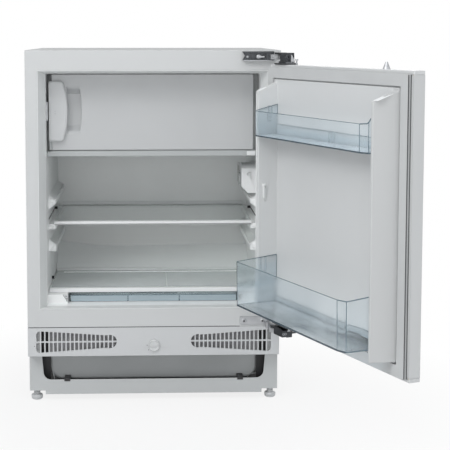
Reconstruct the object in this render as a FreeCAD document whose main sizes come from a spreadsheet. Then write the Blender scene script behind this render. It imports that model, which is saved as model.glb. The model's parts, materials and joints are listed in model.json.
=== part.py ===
import FreeCAD, Part
import Sketcher
import math
import os
import re

# An undercounter fridge with an icebox, in millimetres.
# X runs to the right, the front faces -Y and Z is up. The origin is on the floor,
# on the cabinet's centreline, in the plane of the cabinet's front frame.

Vector = FreeCAD.Vector
Rotation = FreeCAD.Rotation
Placement = FreeCAD.Placement

doc = FreeCAD.newDocument("UndercounterFridge")

# Every size that can be set by itself: alias, value, what it is
CABINET_SIZES = (
    ("cab_wide", 596, "cabinet, side to side"),
    ("cab_top", 840, "cabinet's top above the floor"),
    ("cab_deep", 505, "cabinet, front frame to back panel"),
    ("skin", 1, "sheet steel of the cabinet and door"),
    ("frame_thick", 12, "depth of the folded front frame"),
    ("frame_low", 186, "lower edge of the front frame"),
    ("side_flange", 28, "front frame's flange beside the opening"),
    ("top_flange", 46.5, "front frame's flange over the opening"),
    ("low_flange", 44, "front frame's flange under the opening"),
    ("breaker_deep", 30, "depth of the sloped collar in the opening"),
    ("breaker_in", 16, "how far the collar leads inwards"),
    ("breaker_edge", 2, "front edge of the collar"),
    ("liner_wall", 2, "moulded liner's wall"),
    ("cavity_deep", 440, "depth inside the liner"),
    ("cavity_drop", 8.5, "how far the ceiling lies under the opening's edge"),
    ("hump_front", 345, "where the step over the compressor starts"),
    ("hump_low", 262, "height of the step's front edge"),
    ("hump_high", 304, "height of the step at the rear wall"),
    ("bay_front", 305, "where the compressor's bay rises behind the floor"),
    ("bay_roof", 228, "roof of the compressor's bay"),
    ("step_wide", 48, "side steps that carry the crisper cover"),
    ("step_high", 22.5, "height of those steps"),
    ("step_front", 52, "front of those steps"),
    ("rib_out", 17, "shelf rib, out of the wall"),
    ("rib_high", 13, "shelf rib's height"),
    ("rib_front", 112, "front end of the ribs and shelf"),
    ("rib_back", 425, "back end of the ribs"),
    ("rib_low_share", 0.2351, "top of the lowest rib, as a share of the liner's height"),
    ("rib_mid_share", 0.3327, "top of the middle rib, which carries the shelf"),
    ("rib_high_share", 0.443, "top of the highest rib"),
    ("seat_gap", 0.3, "clearance of a piece that rests on another"),
    ("side_gap", 3, "clearance beside a loose piece"),
    ("shelf_glass", 5, "shelf's glass"),
    ("shelf_wide", 482, "shelf, side to side"),
    ("shelf_deep", 300, "shelf, front to back"),
    ("trim_high", 9, "shelf's front trim"),
    ("trim_deep", 12, "depth of the shelf's front trim"),
    ("trim_wall", 1.5, "wall of the shelf's trims"),
    ("icebox_front", 75, "front face of the icebox flap"),
    ("icebox_share", 0.6383, "underside of the icebox's floor, as a share of the liner's height"),
    ("icebox_floor_high", 12.5, "thickness of the icebox's floor"),
    ("icebox_back", 430, "back of the icebox's floor"),
    ("flap_thick", 22, "icebox flap"),
    ("flap_left", 242, "flap's free edge, from the centreline"),
    ("flap_step", 6, "how far the flap's back reaches beyond that edge"),
    ("flap_face", 8, "depth of the flap in front of that step"),
    ("handle_over", 6.3, "how far the flap's handle reaches beyond that edge"),
    ("flap_right", 240, "flap's hinged edge, from the centreline"),
    ("flap_gap", 3, "clearance over and under the flap"),
    ("recess_left", 205, "grip recess's outer side, from the centreline"),
    ("recess_right", 171, "grip recess's inner side, from the centreline"),
    ("recess_low_in", 40.5, "grip recess's lower edge from the flap's"),
    ("recess_high_in", 30, "grip recess's upper edge from the flap's"),
    ("recess_deep", 17, "depth of the grip recess"),
    ("handle_low_in", 21.5, "flap handle's lower end from the flap's"),
    ("handle_high_in", 16, "flap handle's upper end from the flap's"),
    ("handle_wide", 36, "flap handle's width at its ends"),
    ("handle_bulge", 9, "how far the handle's inner side curves out"),
    ("handle_thick", 11, "flap handle"),
    ("latch_wide", 3, "striker strip, out of the wall"),
    ("latch_deep", 14, "striker strip, front to back"),
    ("latch_up", 87, "striker strip's lower end over the icebox's floor"),
    ("latch_long", 44, "striker strip's height"),
    ("flap_pin", 3, "radius of the flap's pins"),
    ("flap_pin_long", 8, "how far a pin reaches into the flap"),
    ("flap_pin_in", 4, "flap's hinged edge to its pins"),
    ("run_gap", 0.05, "radial clearance of a turning fit"),
    ("evap_wall", 1.5, "evaporator's sheet"),
    ("evap_gap", 6, "evaporator to the liner"),
    ("evap_front", 105, "front edge of the evaporator"),
    ("lamp_out", 38, "lamp housing, out of the wall"),
    ("lamp_over", 12, "lamp housing over the highest rib"),
    ("lamp_high", 62, "lamp housing's height"),
    ("lamp_front", 120, "front of the lamp housing"),
    ("lamp_deep", 140, "lamp housing, front to back"),
    ("lamp_slope", 16, "sloped lower edge of the lamp housing"),
    ("lamp_wall", 2.5, "lamp housing's wall"),
    ("lens_front", 178, "front edge of the lamp's lens"),
    ("lens_back", 248, "back edge of the lamp's lens"),
    ("lens_thick", 2, "lamp's lens"),
    ("bulb_round", 8, "bulb's radius"),
    ("bulb_long", 44, "bulb with its cap"),
    ("knob_round", 15, "thermostat knob's radius"),
    ("knob_thick", 5, "thermostat knob, out of the housing"),
    ("knob_place", 149, "thermostat knob's centre behind the front frame"),
    ("knob_axle", 3, "radius of the knob's axle"),
    ("knob_axle_long", 12, "length of the knob's axle"),
    ("switch_round", 4, "door switch button's radius"),
    ("switch_out", 9, "how far the button stands out"),
    ("switch_long", 20, "button with its plunger"),
    ("switch_drop", 15, "door switch under the lamp housing's top"),
    ("cover_glass", 4, "crisper cover's glass"),
    ("cover_front", 75, "front of the crisper's cover"),
    ("cover_trim_high", 10, "crisper cover's front trim"),
    ("cover_trim_deep", 12, "depth of that trim"),
    ("drawer_wall", 2, "crisper drawer's wall"),
    ("drawer_deep", 255, "crisper drawer, front to back"),
    ("drawer_in", 1.5, "drawer's front behind the cover's front"),
    ("grip_wide", 116, "drawer's centre grip"),
    ("grip_deep", 5, "grip, out of the drawer's front"),
    ("grip_wall", 2, "wall of the drawer's grip"),
    ("knob_up", 34, "thermostat knob over the lamp housing's lower edge"),
    ("rib_nose", 8, "rounded front corners of the ribs"),
    ("bush_round", 6, "radius of the flap's bushes"),
    ("bush_deep", 8, "height of the flap's bushes"),
    ("pin_reach", 7, "how far a pin reaches into its bush"),
    ("overrun", 5, "how far a cut runs past what it cuts"),
)

BASE_SIZES = (
    ("base_top", 117, "top of the base frame, and the grille's lower edge"),
    ("base_low", 24, "underside of the base frame over the feet"),
    ("base_skirt", 15, "lowest edge of the base frame's front, between the feet"),
    ("base_back", 35, "how far the base frame stands back"),
    ("base_wall", 2, "base frame's sheet"),
    ("base_rail", 40, "floor rails of the base frame, side to side"),
    ("rail_thick", 3, "floor rails, thickness"),
    ("base_rear_high", 46, "rear cross piece of the base frame"),
    ("corner_wide", 38, "raised corners of the base frame's front"),
    ("window_top_side", 30, "base window's upper corners, from the side"),
    ("window_low_side", 35, "base window's lower corners, from the side"),
    ("window_low", 51, "base window's lower edge"),
    ("window_top", 110, "base window's upper edge"),
    ("window_round", 18, "base window's lower corners, rounded"),
    ("grille_sheet", 3, "grille panel"),
    ("fan_outer", 278, "fan of slots, outer end from the centreline"),
    ("fan_inner", 88, "fan of slots, inner end from the centreline"),
    ("fan_middle", 151.5, "height of the fans' centre line"),
    ("fan_outer_half", 26, "half height of a fan at its outer end"),
    ("fan_inner_half", 15, "half height of a fan near its inner end"),
    ("fan_nose", 22, "rounded inner end of a fan"),
    ("fan_corner", 9, "rounded outer corners of a fan"),
    ("bar_wide", 3.2, "bar between two slots"),
    ("bar_pitch", 10, "one bar to the next"),
    ("rib_across", 3.5, "rib across the middle of the slots"),
    ("baffle_back", 22, "air baffle behind the grille"),
    ("baffle_in", 50, "air baffle's ends, from the side"),
    ("cap_round", 14, "quarter-turn cap's radius"),
    ("cap_thick", 3, "cap, out of the panel"),
    ("cap_middle", 142, "height of the cap"),
    ("cap_bar_high", 3.5, "finger bar across the cap"),
    ("cap_bar_out", 2.5, "finger bar, out of the cap"),
    ("cap_axle", 5, "radius of the cap's axle"),
    ("cap_axle_long", 8, "how far the cap's axle reaches in"),
    ("shroud_side", 49, "underbody shroud, from the side"),
    ("shroud_low", 44, "underside of the shroud"),
    ("shroud_front", 62, "front of the shroud"),
    ("shroud_deep", 240, "shroud, front to back"),
    ("shroud_wall", 2, "shroud's wall"),
    ("shroud_round", 30, "shroud's lower corners"),
    ("pan_thick", 1.5, "sheet under and beside the shroud"),
    ("pan_wing", 65, "front of the sheet beside the shroud"),
    ("clip_wide", 14, "shroud's clip, side to side"),
    ("clip_high", 4, "shroud's clip, upright"),
    ("clip_lip", 1.5, "shroud's clip, out of the base frame"),
    ("clip_place", 208, "shroud's clip, from the centreline"),
    ("foot_side", 16, "foot's centre, from the side"),
    ("foot_front", 52, "front feet's centre behind the front frame"),
    ("foot_rear", 470, "rear feet's centre behind the front frame"),
    ("foot_round", 13.7, "foot's radius"),
    ("foot_high", 13, "foot's disc"),
    ("foot_edge", 4, "sloped edges of the foot's disc"),
    ("foot_neck", 7, "radius of the foot's neck"),
    ("foot_stem", 4, "radius of the foot's threaded stem"),
    ("foot_gap", 0.1, "foot's stem in its rail"),
    ("foot_stem_up", 30, "how far the stem reaches over the rail"),
    ("plate_front", 352, "front edge of the compressor's plate"),
    ("plate_thick", 2, "compressor's plate"),
    ("comp_side", 90, "compressor's centre, right of the centreline"),
    ("comp_place", 422, "compressor's centre behind the front frame"),
    ("comp_round", 56, "compressor's radius"),
    ("comp_high", 128, "compressor's shell"),
    ("comp_dome", 40, "rounded ends of the shell"),
    ("comp_foot", 68, "compressor's base, half its width"),
    ("comp_foot_thick", 3, "compressor's base"),
    ("mount_round", 9, "rubber mount's radius"),
    ("mount_high", 12, "rubber mount's height"),
    ("mount_in", 12, "rubber mount in from the base's edge"),
    ("tray_wide", 100, "evaporating tray, side to side"),
    ("tray_deep", 110, "evaporating tray, front to back"),
    ("tray_high", 22, "evaporating tray, upright"),
    ("tray_wall", 2, "evaporating tray's wall"),
    ("tube_round", 2.5, "condenser tube's radius"),
    ("coil_left", 246, "condenser's left end, from the centreline"),
    ("coil_right", 30, "condenser's right end, left of the centreline"),
    ("coil_low", 48, "condenser's lowest run"),
    ("coil_rise", 22, "one run of the condenser to the next"),
    ("coil_rail", 5, "condenser's upright rails"),
    ("coil_rail_in", 45, "condenser's rails, in from its ends"),
    ("dryer_round", 9, "dryer's radius"),
    ("dryer_long", 42, "dryer's length"),
    ("pipe_bend", 18, "bends of the refrigerant pipes"),
    ("inlet_side", 225, "mains inlet's centre, left of the centreline"),
    ("inlet_wide", 44, "mains inlet box"),
    ("inlet_high", 34, "mains inlet box, upright"),
    ("inlet_deep", 26, "mains inlet box, front to back"),
    ("inlet_well_wide", 27, "inlet's socket, side to side"),
    ("inlet_well_high", 20, "inlet's socket, upright"),
    ("inlet_well_deep", 16, "inlet's socket, front to back"),
)
DOOR_SIZES = (
    ("door_edge", 280, "closed gasket's hinge edge, from the centreline"),
    ("door_open", 112, "door's opening in the modelled pose, in degrees"),
    ("pin_out", 11, "hinge pin outside the gasket's edge"),
    ("pin_in", 36, "hinge pin behind the gasket's face"),
    ("gasket_wide", 560, "gasket, side to side"),
    ("gasket_low_in", 5, "gasket's lower edge from the door's"),
    ("gasket_high_in", 6, "gasket's upper edge from the door's"),
    ("gasket_band", 24, "gasket's width"),
    ("gasket_thick", 8, "gasket"),
    ("gasket_face", 0.5, "closed gasket to the front frame"),
    ("door_lap", 7, "door's sheet beyond the gasket at each side"),
    ("door_low", 212, "door's lower edge"),
    ("door_high", 809, "door's upper edge"),
    ("door_thick", 35, "door, gasket's face to the outer sheet"),
    ("door_return", 9.5, "front edge of the sheet behind the gasket's face"),
    ("cap_high", 8, "end cap of the door"),
    ("field_gap", 3, "liner's raised field to the gasket"),
    ("panel_out", 7, "door liner's field, out of the foam"),
    ("rib_near", 29, "near rib's outer side at its root, from the hinge edge"),
    ("rib_near_lean", 2, "how much the near rib's outer side leans in"),
    ("rib_near_inner", 45, "near rib's inner side from the hinge edge"),
    ("far_inner_in", 51.5, "far rib's inner side from the gasket's far edge"),
    ("far_edge_in", 45, "far rib's outer side at its free edge"),
    ("far_root_in", 30, "far rib's outer side at its root"),
    ("rib_depth", 47, "ribs beyond the gasket's face"),
    ("rib_low_in", 28, "lower end of the door's ribs from the gasket's"),
    ("rib_high_in", 34, "upper end of the ribs at the root from the gasket's"),
    ("rib_slope", 19, "how far the ribs' upper ends slope down"),
    ("lug_place", 518, "height of the lug on the near rib"),
    ("lug_long", 32, "lug's height"),
    ("lug_out", 2.2, "lug, out of the rib"),
    ("lug_wide", 4, "lug's width"),
    ("lug_reach", 30, "lug's middle beyond the gasket's face"),
    ("bin_wall", 2.4, "door bins' wall"),
    ("bin_side_gap", 0.8, "door bins to the ribs"),
    ("upper_bin_drop", 159, "upper bin's underside from the door's upper edge"),
    ("upper_bin_high", 57, "upper bin's front"),
    ("upper_bin_rise", 9, "how much higher the upper bin's sides are"),
    ("upper_bin_out", 58, "upper bin's front beyond the gasket's face"),
    ("lower_bin_up", 56, "lower bin's underside from the door's lower edge"),
    ("lower_bin_high", 101, "lower bin's front"),
    ("lower_bin_rise", 9, "how much higher the lower bin's sides are"),
    ("lower_bin_out", 103, "lower bin's front beyond the gasket's face"),
    ("upper_bin_back", 24.5, "height of the upper bin's back"),
    ("lower_bin_back", 14, "height of the lower bin's back"),
    ("bin_bevel", 22, "bevelled far corner of the bins, along their front"),
    ("bin_bevel_deep", 7, "that bevel's depth"),
    ("lug_bin_wide", 10, "bin's carrier on the door liner, out of the rib"),
    ("lug_bin_high", 6, "bin's carrier, upright"),
    ("lug_bin_in", 22, "bin's carrier, beyond the door liner"),
    ("housing_left", 207, "top hinge housing's left end, from the centreline"),
    ("housing_right", 281, "top hinge housing's right end"),
    ("housing_drop", 3, "top hinge housing under the cabinet's top"),
    ("housing_high", 20, "top hinge housing's height"),
    ("housing_fork", 9, "slit in the housing's left end"),
    ("housing_slit", 4, "width of that slit, and of the housing's rim"),
    ("screw_in", 36, "housing's screw from its left end"),
    ("low_screw_in", 10, "bottom plate's screws, in from its ends"),
    ("low_ear_left", 24, "bottom hinge's ear inside the pin"),
    ("housing_deep", 14, "hinge housing, out of the front frame"),
    ("ear_end", 13, "hinge ear beyond the pin"),
    ("ear_left", 24, "hinge ear inside the pin"),
    ("ear_thick", 4, "hinge ear"),
    ("arm_lift", 15.5, "hinge arm's plate over the door's edge"),
    ("arm_thick", 4, "hinge arm's plate"),
    ("arm_gap", 0.5, "hinge arm to the ear"),
    ("arm_near", 9, "hinge arm's plate beyond the pin"),
    ("arm_far", 62, "hinge arm's end from the gasket's edge"),
    ("arm_wide_in", 16, "hinge arm's plate, inside the pin's line"),
    ("arm_wide_out", 8, "hinge arm's plate, outside the pin's line"),
    ("web_start", 20, "hinge arm's web from the gasket's edge"),
    ("web_wide", 14, "hinge arm's web, across"),
    ("web_rise", 8, "hinge arm's web beyond its plate"),
    ("flange_thick", 3, "hinge arm's flange on the door"),
    ("flange_start", 10, "flange's near end from the gasket's edge"),
    ("flange_long", 64, "flange's length"),
    ("flange_wide", 23, "flange's width"),
    ("pin_round", 4, "hinge pin's radius"),
    ("pin_head", 6.5, "hinge pin's head, radius"),
    ("pin_head_thick", 2, "hinge pin's head"),
    ("low_plate_left", 204, "bottom hinge plate's left end"),
    ("low_plate_right", 274, "bottom hinge plate's right end"),
    ("low_plate_low", 191, "bottom hinge plate's lower edge"),
    ("low_plate_high", 210, "bottom hinge plate's upper edge"),
    ("low_plate_thick", 3, "bottom hinge plate"),
    ("screw_head", 4.2, "screw head's radius"),
    ("screw_head_thick", 1.8, "screw head"),
    ("screw_shank", 2, "screw's shank, radius"),
    ("screw_long", 9, "screw's shank"),
    ("stud_place", 89, "stud on the door's edge, from the hinge edge"),
    ("stud_high", 13, "stud's height"),
    ("stud_round", 3.5, "stud's head, radius"),
    ("bracket_place", 450, "front bracket's screw, from the hinge edge"),
    ("bracket_high", 14.5, "front bracket's height"),
    ("bracket_round", 7.9, "front bracket's base, radius"),
    ("bracket_tip", 2.2, "front bracket's tip, radius"),
    ("top_mark", 2, "place of the studs in from the door's outer face"),
)
SIZES = CABINET_SIZES + BASE_SIZES + DOOR_SIZES
BARS = 18
COIL_RUNS = 6

# A sketch's corners before they are held, and how near two places count as one
START_ROUND = 100
START_TURN = 0.1
NEAR = 0.01
SAME = 0.001

sheet = doc.addObject("Spreadsheet::Sheet", "Sizes")
for row, (alias, number, meaning) in enumerate(SIZES, start=1):
    sheet.set(f"A{row}", meaning)
    sheet.set(f"B{row}", str(number))
    sheet.setAlias(f"B{row}", alias)
doc.recompute()


class Size:
    """The sheet's numbers, for what is worked out here."""


for alias, _, _ in SIZES:
    setattr(Size, alias, float(sheet.get(alias)))
ALIASES = {alias for alias, _, _ in SIZES}
PIECES = []


def bound(formula):
    """A formula over the sheet's aliases, as an expression."""
    return re.sub(
        "[a-z][a-z_]*",
        lambda word: "Sizes." * (word.group() in ALIASES) + word.group(),
        formula,
    )


def piece(label, placement=None):
    """A sub-part of its own, which fills up with the features that follow."""
    body = doc.addObject("PartDesign::Body", label)
    body.Label = label
    body.AllowCompound = True
    if placement:
        body.Placement = placement
    PIECES.append(body)
    return body


def block(body, x, y, z, cut=False):
    """A box between two formulas along each axis, added to a body or cut from it."""
    kind = "Subtractive" if cut else "Additive"
    feature = body.newObject(f"PartDesign::{kind}Box", f"{body.Name}_block")
    sides = zip(("Length", "Width", "Height"), "xyz", (x, y, z))
    for prop, side, (low, high) in sides:
        feature.setExpression(prop, bound(f"({high}) - ({low})"))
        feature.setExpression(f"Placement.Base.{side}", bound(low))
    return feature


TURNS = {
    "x": Rotation(Vector(0, 1, 0), 90),
    "y": Rotation(Vector(1, 0, 0), -90),
    "z": Rotation(),
}


def rod(body, radius, at, length, axis="z", cut=False):
    """A cylinder from a point along an axis, added to a body or cut from it."""
    kind = "Subtractive" if cut else "Additive"
    feature = body.newObject(f"PartDesign::{kind}Cylinder", f"{body.Name}_rod")
    feature.setExpression("Radius", bound(radius))
    feature.setExpression("Height", bound(length))
    feature.Placement = Placement(Vector(), TURNS[axis])
    for side, formula in zip("xyz", at):
        feature.setExpression(f"Placement.Base.{side}", bound(formula))
    return feature


def cone(body, low_radius, high_radius, at, length):
    """An upright cone, added to a body."""
    feature = body.newObject("PartDesign::AdditiveCone", f"{body.Name}_cone")
    feature.setExpression("Radius1", bound(low_radius))
    feature.setExpression("Radius2", bound(high_radius))
    feature.setExpression("Height", bound(length))
    for side, formula in zip("xyz", at):
        feature.setExpression(f"Placement.Base.{side}", bound(formula))
    return feature


def sketch_on(body, plane, points):
    """A closed outline on one of a body's own planes, its corners held by formulas."""
    sketch = body.newObject("Sketcher::SketchObject", f"{body.Name}_sketch")
    base = [o for o in body.Origin.OriginFeatures if o.Role == plane][0]
    sketch.AttachmentSupport = [(base, "")]
    sketch.MapMode = "FlatFace"
    start = [Vector(*place, 0) for place in polygon_start(len(points))]
    for near, far in zip(start, [*start[1:], start[0]]):
        sketch.addGeometry(Part.LineSegment(near, far), False)
    count = len(points)
    for edge in range(count):
        after = (edge + 1) % count
        sketch.addConstraint(Sketcher.Constraint("Coincident", edge, 2, after, 1))
    for edge, (across, up) in enumerate(points):
        for kind, formula in (("DistanceX", across), ("DistanceY", up)):
            held = sketch.addConstraint(
                Sketcher.Constraint(kind, -1, 1, edge, 1, getattr(start[edge], kind[-1].lower()))
            )
            sketch.setExpression(f"Constraints[{held}]", bound(formula))
    return sketch


def polygon_start(count):
    """Corners of a regular outline, where a sketch's corners lie before they are held."""
    return [
        (START_ROUND * math.cos(turn), START_ROUND * math.sin(turn))
        for turn in (math.tau * n / count + START_TURN for n in range(count))
    ]


def pad(body, sketch, length, reverse=False, middle=False):
    """A sketch's outline made solid."""
    feature = body.newObject("PartDesign::Pad", f"{body.Name}_pad")
    feature.Profile = sketch
    feature.setExpression("Length", bound(length))
    feature.Reversed = reverse
    feature.Midplane = middle
    return feature


def pocket(body, sketch, length, reverse=False, middle=False):
    """A sketch's outline cut out of a body."""
    feature = body.newObject("PartDesign::Pocket", f"{body.Name}_pocket")
    feature.Profile = sketch
    feature.setExpression("Length", bound(length))
    feature.Reversed = reverse
    feature.Midplane = middle
    return feature


def turned(body, points):
    """A half outline on the XZ plane, turned about the body's Z axis."""
    sketch = sketch_on(body, "XZ_Plane", points)
    feature = body.newObject("PartDesign::Revolution", f"{body.Name}_turned")
    feature.Profile = sketch
    feature.ReferenceAxis = (sketch, ["V_Axis"])
    feature.Angle = 360
    return feature


def rounded(body, radius, wanted):
    """The edges whose middle passes a test, rounded."""
    doc.recompute()
    base = body.Tip
    names = [
        f"Edge{number}"
        for number, edge in enumerate(base.Shape.Edges, start=1)
        if wanted(edge.CenterOfMass, edge)
    ]
    feature = body.newObject("PartDesign::Fillet", f"{body.Name}_round")
    feature.Base = (base, names)
    feature.setExpression("Radius", bound(radius))
    return feature


def formed(label, shape, placement=None):
    """A sub-part whose shape is worked out here."""
    feature = doc.addObject("Part::Feature", label)
    feature.Label = label
    feature.Shape = shape
    if placement:
        feature.Placement = placement
    PIECES.append(feature)
    return feature


# Places that many pieces share, as formulas over the sheet
HALF = "(cab_wide / 2)"
OPEN = "(cab_wide / 2 - side_flange)"
OPEN_LOW = "(frame_low + low_flange)"
OPEN_HIGH = "(cab_top - top_flange)"
WALL = "(cab_wide / 2 - side_flange - breaker_in)"
FLOOR = "(frame_low + low_flange + breaker_edge)"
CEILING = "(cab_top - top_flange - cavity_drop)"
LINER_HIGH = f"({CEILING} - {FLOOR})"
ICE_UNDER = f"({FLOOR} + icebox_share * {LINER_HIGH})"
ICE_FLOOR = f"({ICE_UNDER} + icebox_floor_high)"
RIB_TOPS = [
    f"({FLOOR} + {share} * {LINER_HIGH})"
    for share in ("rib_low_share", "rib_mid_share", "rib_high_share")
]
SHELF_SEAT = RIB_TOPS[1]
STEP_TOP = "(frame_low + low_flange + breaker_edge + step_high)"
# The same places as numbers, for shapes worked out here
half = Size.cab_wide / 2
open_side = half - Size.side_flange
open_low = Size.frame_low + Size.low_flange
open_high = Size.cab_top - Size.top_flange
wall = open_side - Size.breaker_in
floor = open_low + Size.breaker_edge
ceiling = open_high - Size.cavity_drop
ice_floor = floor + Size.icebox_share * (ceiling - floor) + Size.icebox_floor_high


def both(formula):
    """A span from side to side, the same each way from the centreline."""
    return f"-({formula})", formula


def rectangle(y, x_left, x_right, z_low, z_high):
    """An upright rectangle facing the front."""
    corners = [(x_left, z_low), (x_right, z_low), (x_right, z_high), (x_left, z_high)]
    return Part.makePolygon([Vector(x, y, z) for x, z in corners + corners[:1]])


def solid_block(x, y, z):
    """A box between two numbers along each axis."""
    size = Vector(x[1] - x[0], y[1] - y[0], z[1] - z[0])
    return Part.makeBox(*size, Vector(x[0], y[0], z[0]))


# Cabinet: sheet steel wrap, front frame, collar, liner, foam and back
outer_wrap = piece("outer_wrap")
block(outer_wrap, both(HALF), ("frame_thick", "cab_deep"), ("base_top", "cab_top"))
block(
    outer_wrap,
    both(f"{HALF} - skin"),
    ("frame_thick - overrun", "cab_deep + overrun"),
    ("base_top - overrun", "cab_top - skin"),
    cut=True,
)

front_frame = piece("front_frame")
block(front_frame, both(HALF), ("0", "frame_thick"), ("frame_low", "cab_top"))
block(
    front_frame,
    both(OPEN),
    ("-overrun", "frame_thick + overrun"),
    (OPEN_LOW, OPEN_HIGH),
    cut=True,
)

collar_edge = open_side - Size.breaker_edge
collar_bore = Part.makeLoft(
    [
        rectangle(0, -collar_edge, collar_edge, floor, open_high - Size.breaker_edge),
        rectangle(Size.breaker_deep, -wall, wall, floor, ceiling),
    ],
    True,
    True,
)
collar = solid_block((-open_side, open_side), (0, Size.breaker_deep), (open_low, open_high))
formed("opening_collar", collar.cut(collar_bore))

LINER_OUTSIDE = [
    ("breaker_deep", f"{FLOOR} - liner_wall"),
    ("breaker_deep", f"{CEILING} + liner_wall"),
    ("cavity_deep + liner_wall", f"{CEILING} + liner_wall"),
    ("cavity_deep + liner_wall", "hump_high - liner_wall"),
    ("hump_front + liner_wall", "hump_low - liner_wall"),
    ("hump_front + liner_wall", f"{FLOOR} - liner_wall"),
]
LINER_INSIDE = [
    ("breaker_deep - overrun", FLOOR),
    ("breaker_deep - overrun", CEILING),
    ("cavity_deep", CEILING),
    ("cavity_deep", "hump_high"),
    ("hump_front", "hump_low"),
    ("hump_front", FLOOR),
]
FLAP_PIN_X = "(flap_right - flap_pin_in)"
FLAP_PIN_Y = "(icebox_front + flap_thick / 2)"
cabinet_liner = piece("cabinet_liner")
pad(
    cabinet_liner,
    sketch_on(cabinet_liner, "YZ_Plane", LINER_OUTSIDE),
    f"2 * ({WALL} + liner_wall)",
    middle=True,
)
pocket(cabinet_liner, sketch_on(cabinet_liner, "YZ_Plane", LINER_INSIDE), f"2 * {WALL}", middle=True)
for side in ((f"-{WALL}", f"step_wide - {WALL}"), (f"{WALL} - step_wide", WALL)):
    block(cabinet_liner, side, ("step_front", "hump_front"), (FLOOR, STEP_TOP))
for side in ((f"-{WALL}", f"rib_out - {WALL}"), (f"{WALL} - rib_out", WALL)):
    for top in RIB_TOPS:
        block(cabinet_liner, side, ("rib_front", "rib_back"), (f"{top} - rib_high", top))
rounded(
    cabinet_liner,
    "rib_nose",
    lambda middle, edge: abs(middle.y - Size.rib_front) < NEAR
    and abs(abs(middle.x) - (wall - Size.rib_out)) < NEAR
    and abs(edge.Length - Size.rib_high) < NEAR,
)
rod(cabinet_liner, "bush_round", (FLAP_PIN_X, FLAP_PIN_Y, f"{CEILING} - overrun"), "2 * overrun", cut=True)

FOAM_OUTSIDE = [
    ("frame_thick", "frame_low + skin"),
    ("frame_thick", "cab_top - skin"),
    ("cab_deep - skin", "cab_top - skin"),
    ("cab_deep - skin", "bay_roof"),
    ("bay_front", "bay_roof"),
    ("bay_front", "frame_low + skin"),
]
cabinet_foam = piece("cabinet_foam")
pad(cabinet_foam, sketch_on(cabinet_foam, "YZ_Plane", FOAM_OUTSIDE), f"2 * ({HALF} - skin)", middle=True)
pocket(
    cabinet_foam,
    sketch_on(cabinet_foam, "YZ_Plane", LINER_OUTSIDE),
    f"2 * ({WALL} + liner_wall)",
    middle=True,
)
block(cabinet_foam, both(OPEN), ("frame_thick - overrun", "breaker_deep"), (OPEN_LOW, OPEN_HIGH), cut=True)
rod(cabinet_foam, "bush_round", (FLAP_PIN_X, FLAP_PIN_Y, CEILING), "bush_deep", cut=True)

back_panel = piece("back_panel")
block(
    back_panel,
    both(f"{HALF} - skin"),
    ("cab_deep - skin", "cab_deep"),
    ("bay_roof - skin", "cab_top - skin"),
)

floor_sheet = piece("bottom_sheet")
block(
    floor_sheet,
    both(f"{HALF} - skin"),
    ("frame_thick", "bay_front + skin"),
    ("frame_low", "frame_low + skin"),
)
block(floor_sheet, both(f"{HALF} - skin"), ("bay_front", "bay_front + skin"), ("frame_low", "bay_roof"))
block(floor_sheet, both(f"{HALF} - skin"), ("bay_front", "cab_deep - skin"), ("bay_roof - skin", "bay_roof"))

# Icebox: floor, evaporator, flap with its handle, pins and striker
icebox_tray = piece("icebox_floor")
block(icebox_tray, both(WALL), ("icebox_front", "icebox_back"), (ICE_UNDER, ICE_FLOOR))
rod(
    icebox_tray,
    "bush_round",
    (FLAP_PIN_X, FLAP_PIN_Y, f"{ICE_FLOOR} - bush_deep"),
    "bush_deep + overrun",
    cut=True,
)

evaporator = piece("evaporator")
EVAPORATOR_TOP = f"({CEILING} - evap_gap)"
block(evaporator, both(f"{WALL} - evap_gap"), ("evap_front", "icebox_back"), (ICE_FLOOR, EVAPORATOR_TOP))
block(
    evaporator,
    both(f"{WALL} - evap_gap - evap_wall"),
    ("evap_front - overrun", "icebox_back - evap_wall"),
    (f"{ICE_FLOOR} + evap_wall", f"{EVAPORATOR_TOP} - evap_wall"),
    cut=True,
)


def bulged(x_straight, x_ends, bulge, y, z):
    """A plate with one straight upright side, and one that curves out between its ends."""
    low_end, high_end = Vector(x_ends, y[0], z[0]), Vector(x_ends, y[0], z[1])
    low_start, high_start = Vector(x_straight, y[0], z[0]), Vector(x_straight, y[0], z[1])
    furthest = Vector(x_ends + bulge, y[0], (z[0] + z[1]) / 2)
    outline = [
        Part.LineSegment(high_start, low_start).toShape(),
        Part.LineSegment(low_start, low_end).toShape(),
        Part.Arc(low_end, furthest, high_end).toShape(),
        Part.LineSegment(high_end, high_start).toShape(),
    ]
    return Part.Face(Part.Wire(outline)).extrude(Vector(0, y[1] - y[0], 0))


flap_low = ice_floor + Size.flap_gap
flap_high = ceiling - Size.flap_gap
flap_pin_x = Size.flap_right - Size.flap_pin_in
flap_pin_y = Size.icebox_front + Size.flap_thick / 2
flap_front = Size.icebox_front
flap = solid_block(
    (-Size.flap_left, Size.flap_right),
    (flap_front, flap_front + Size.flap_thick),
    (flap_low, flap_high),
).fuse(
    solid_block(
        (-Size.flap_left - Size.flap_step, 0),
        (flap_front + Size.flap_face, flap_front + Size.flap_thick),
        (flap_low, flap_high),
    )
)
flap = flap.removeSplitter()
recess = bulged(
    -Size.recess_left,
    -Size.recess_right - Size.handle_bulge / 2,
    Size.handle_bulge / 2,
    (flap_front - Size.overrun, flap_front + Size.recess_deep),
    (flap_low + Size.recess_low_in, flap_high - Size.recess_high_in),
)
low_pin = Part.makeCylinder(
    Size.flap_pin,
    Size.pin_reach + Size.flap_gap + Size.flap_pin_long,
    Vector(flap_pin_x, flap_pin_y, ice_floor - Size.pin_reach),
)
high_pin = Part.makeCylinder(
    Size.flap_pin,
    Size.flap_pin_long + Size.flap_gap + Size.pin_reach,
    Vector(flap_pin_x, flap_pin_y, flap_high - Size.flap_pin_long),
)
formed("icebox_flap", flap.cut(recess).cut(low_pin).cut(high_pin))
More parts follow.
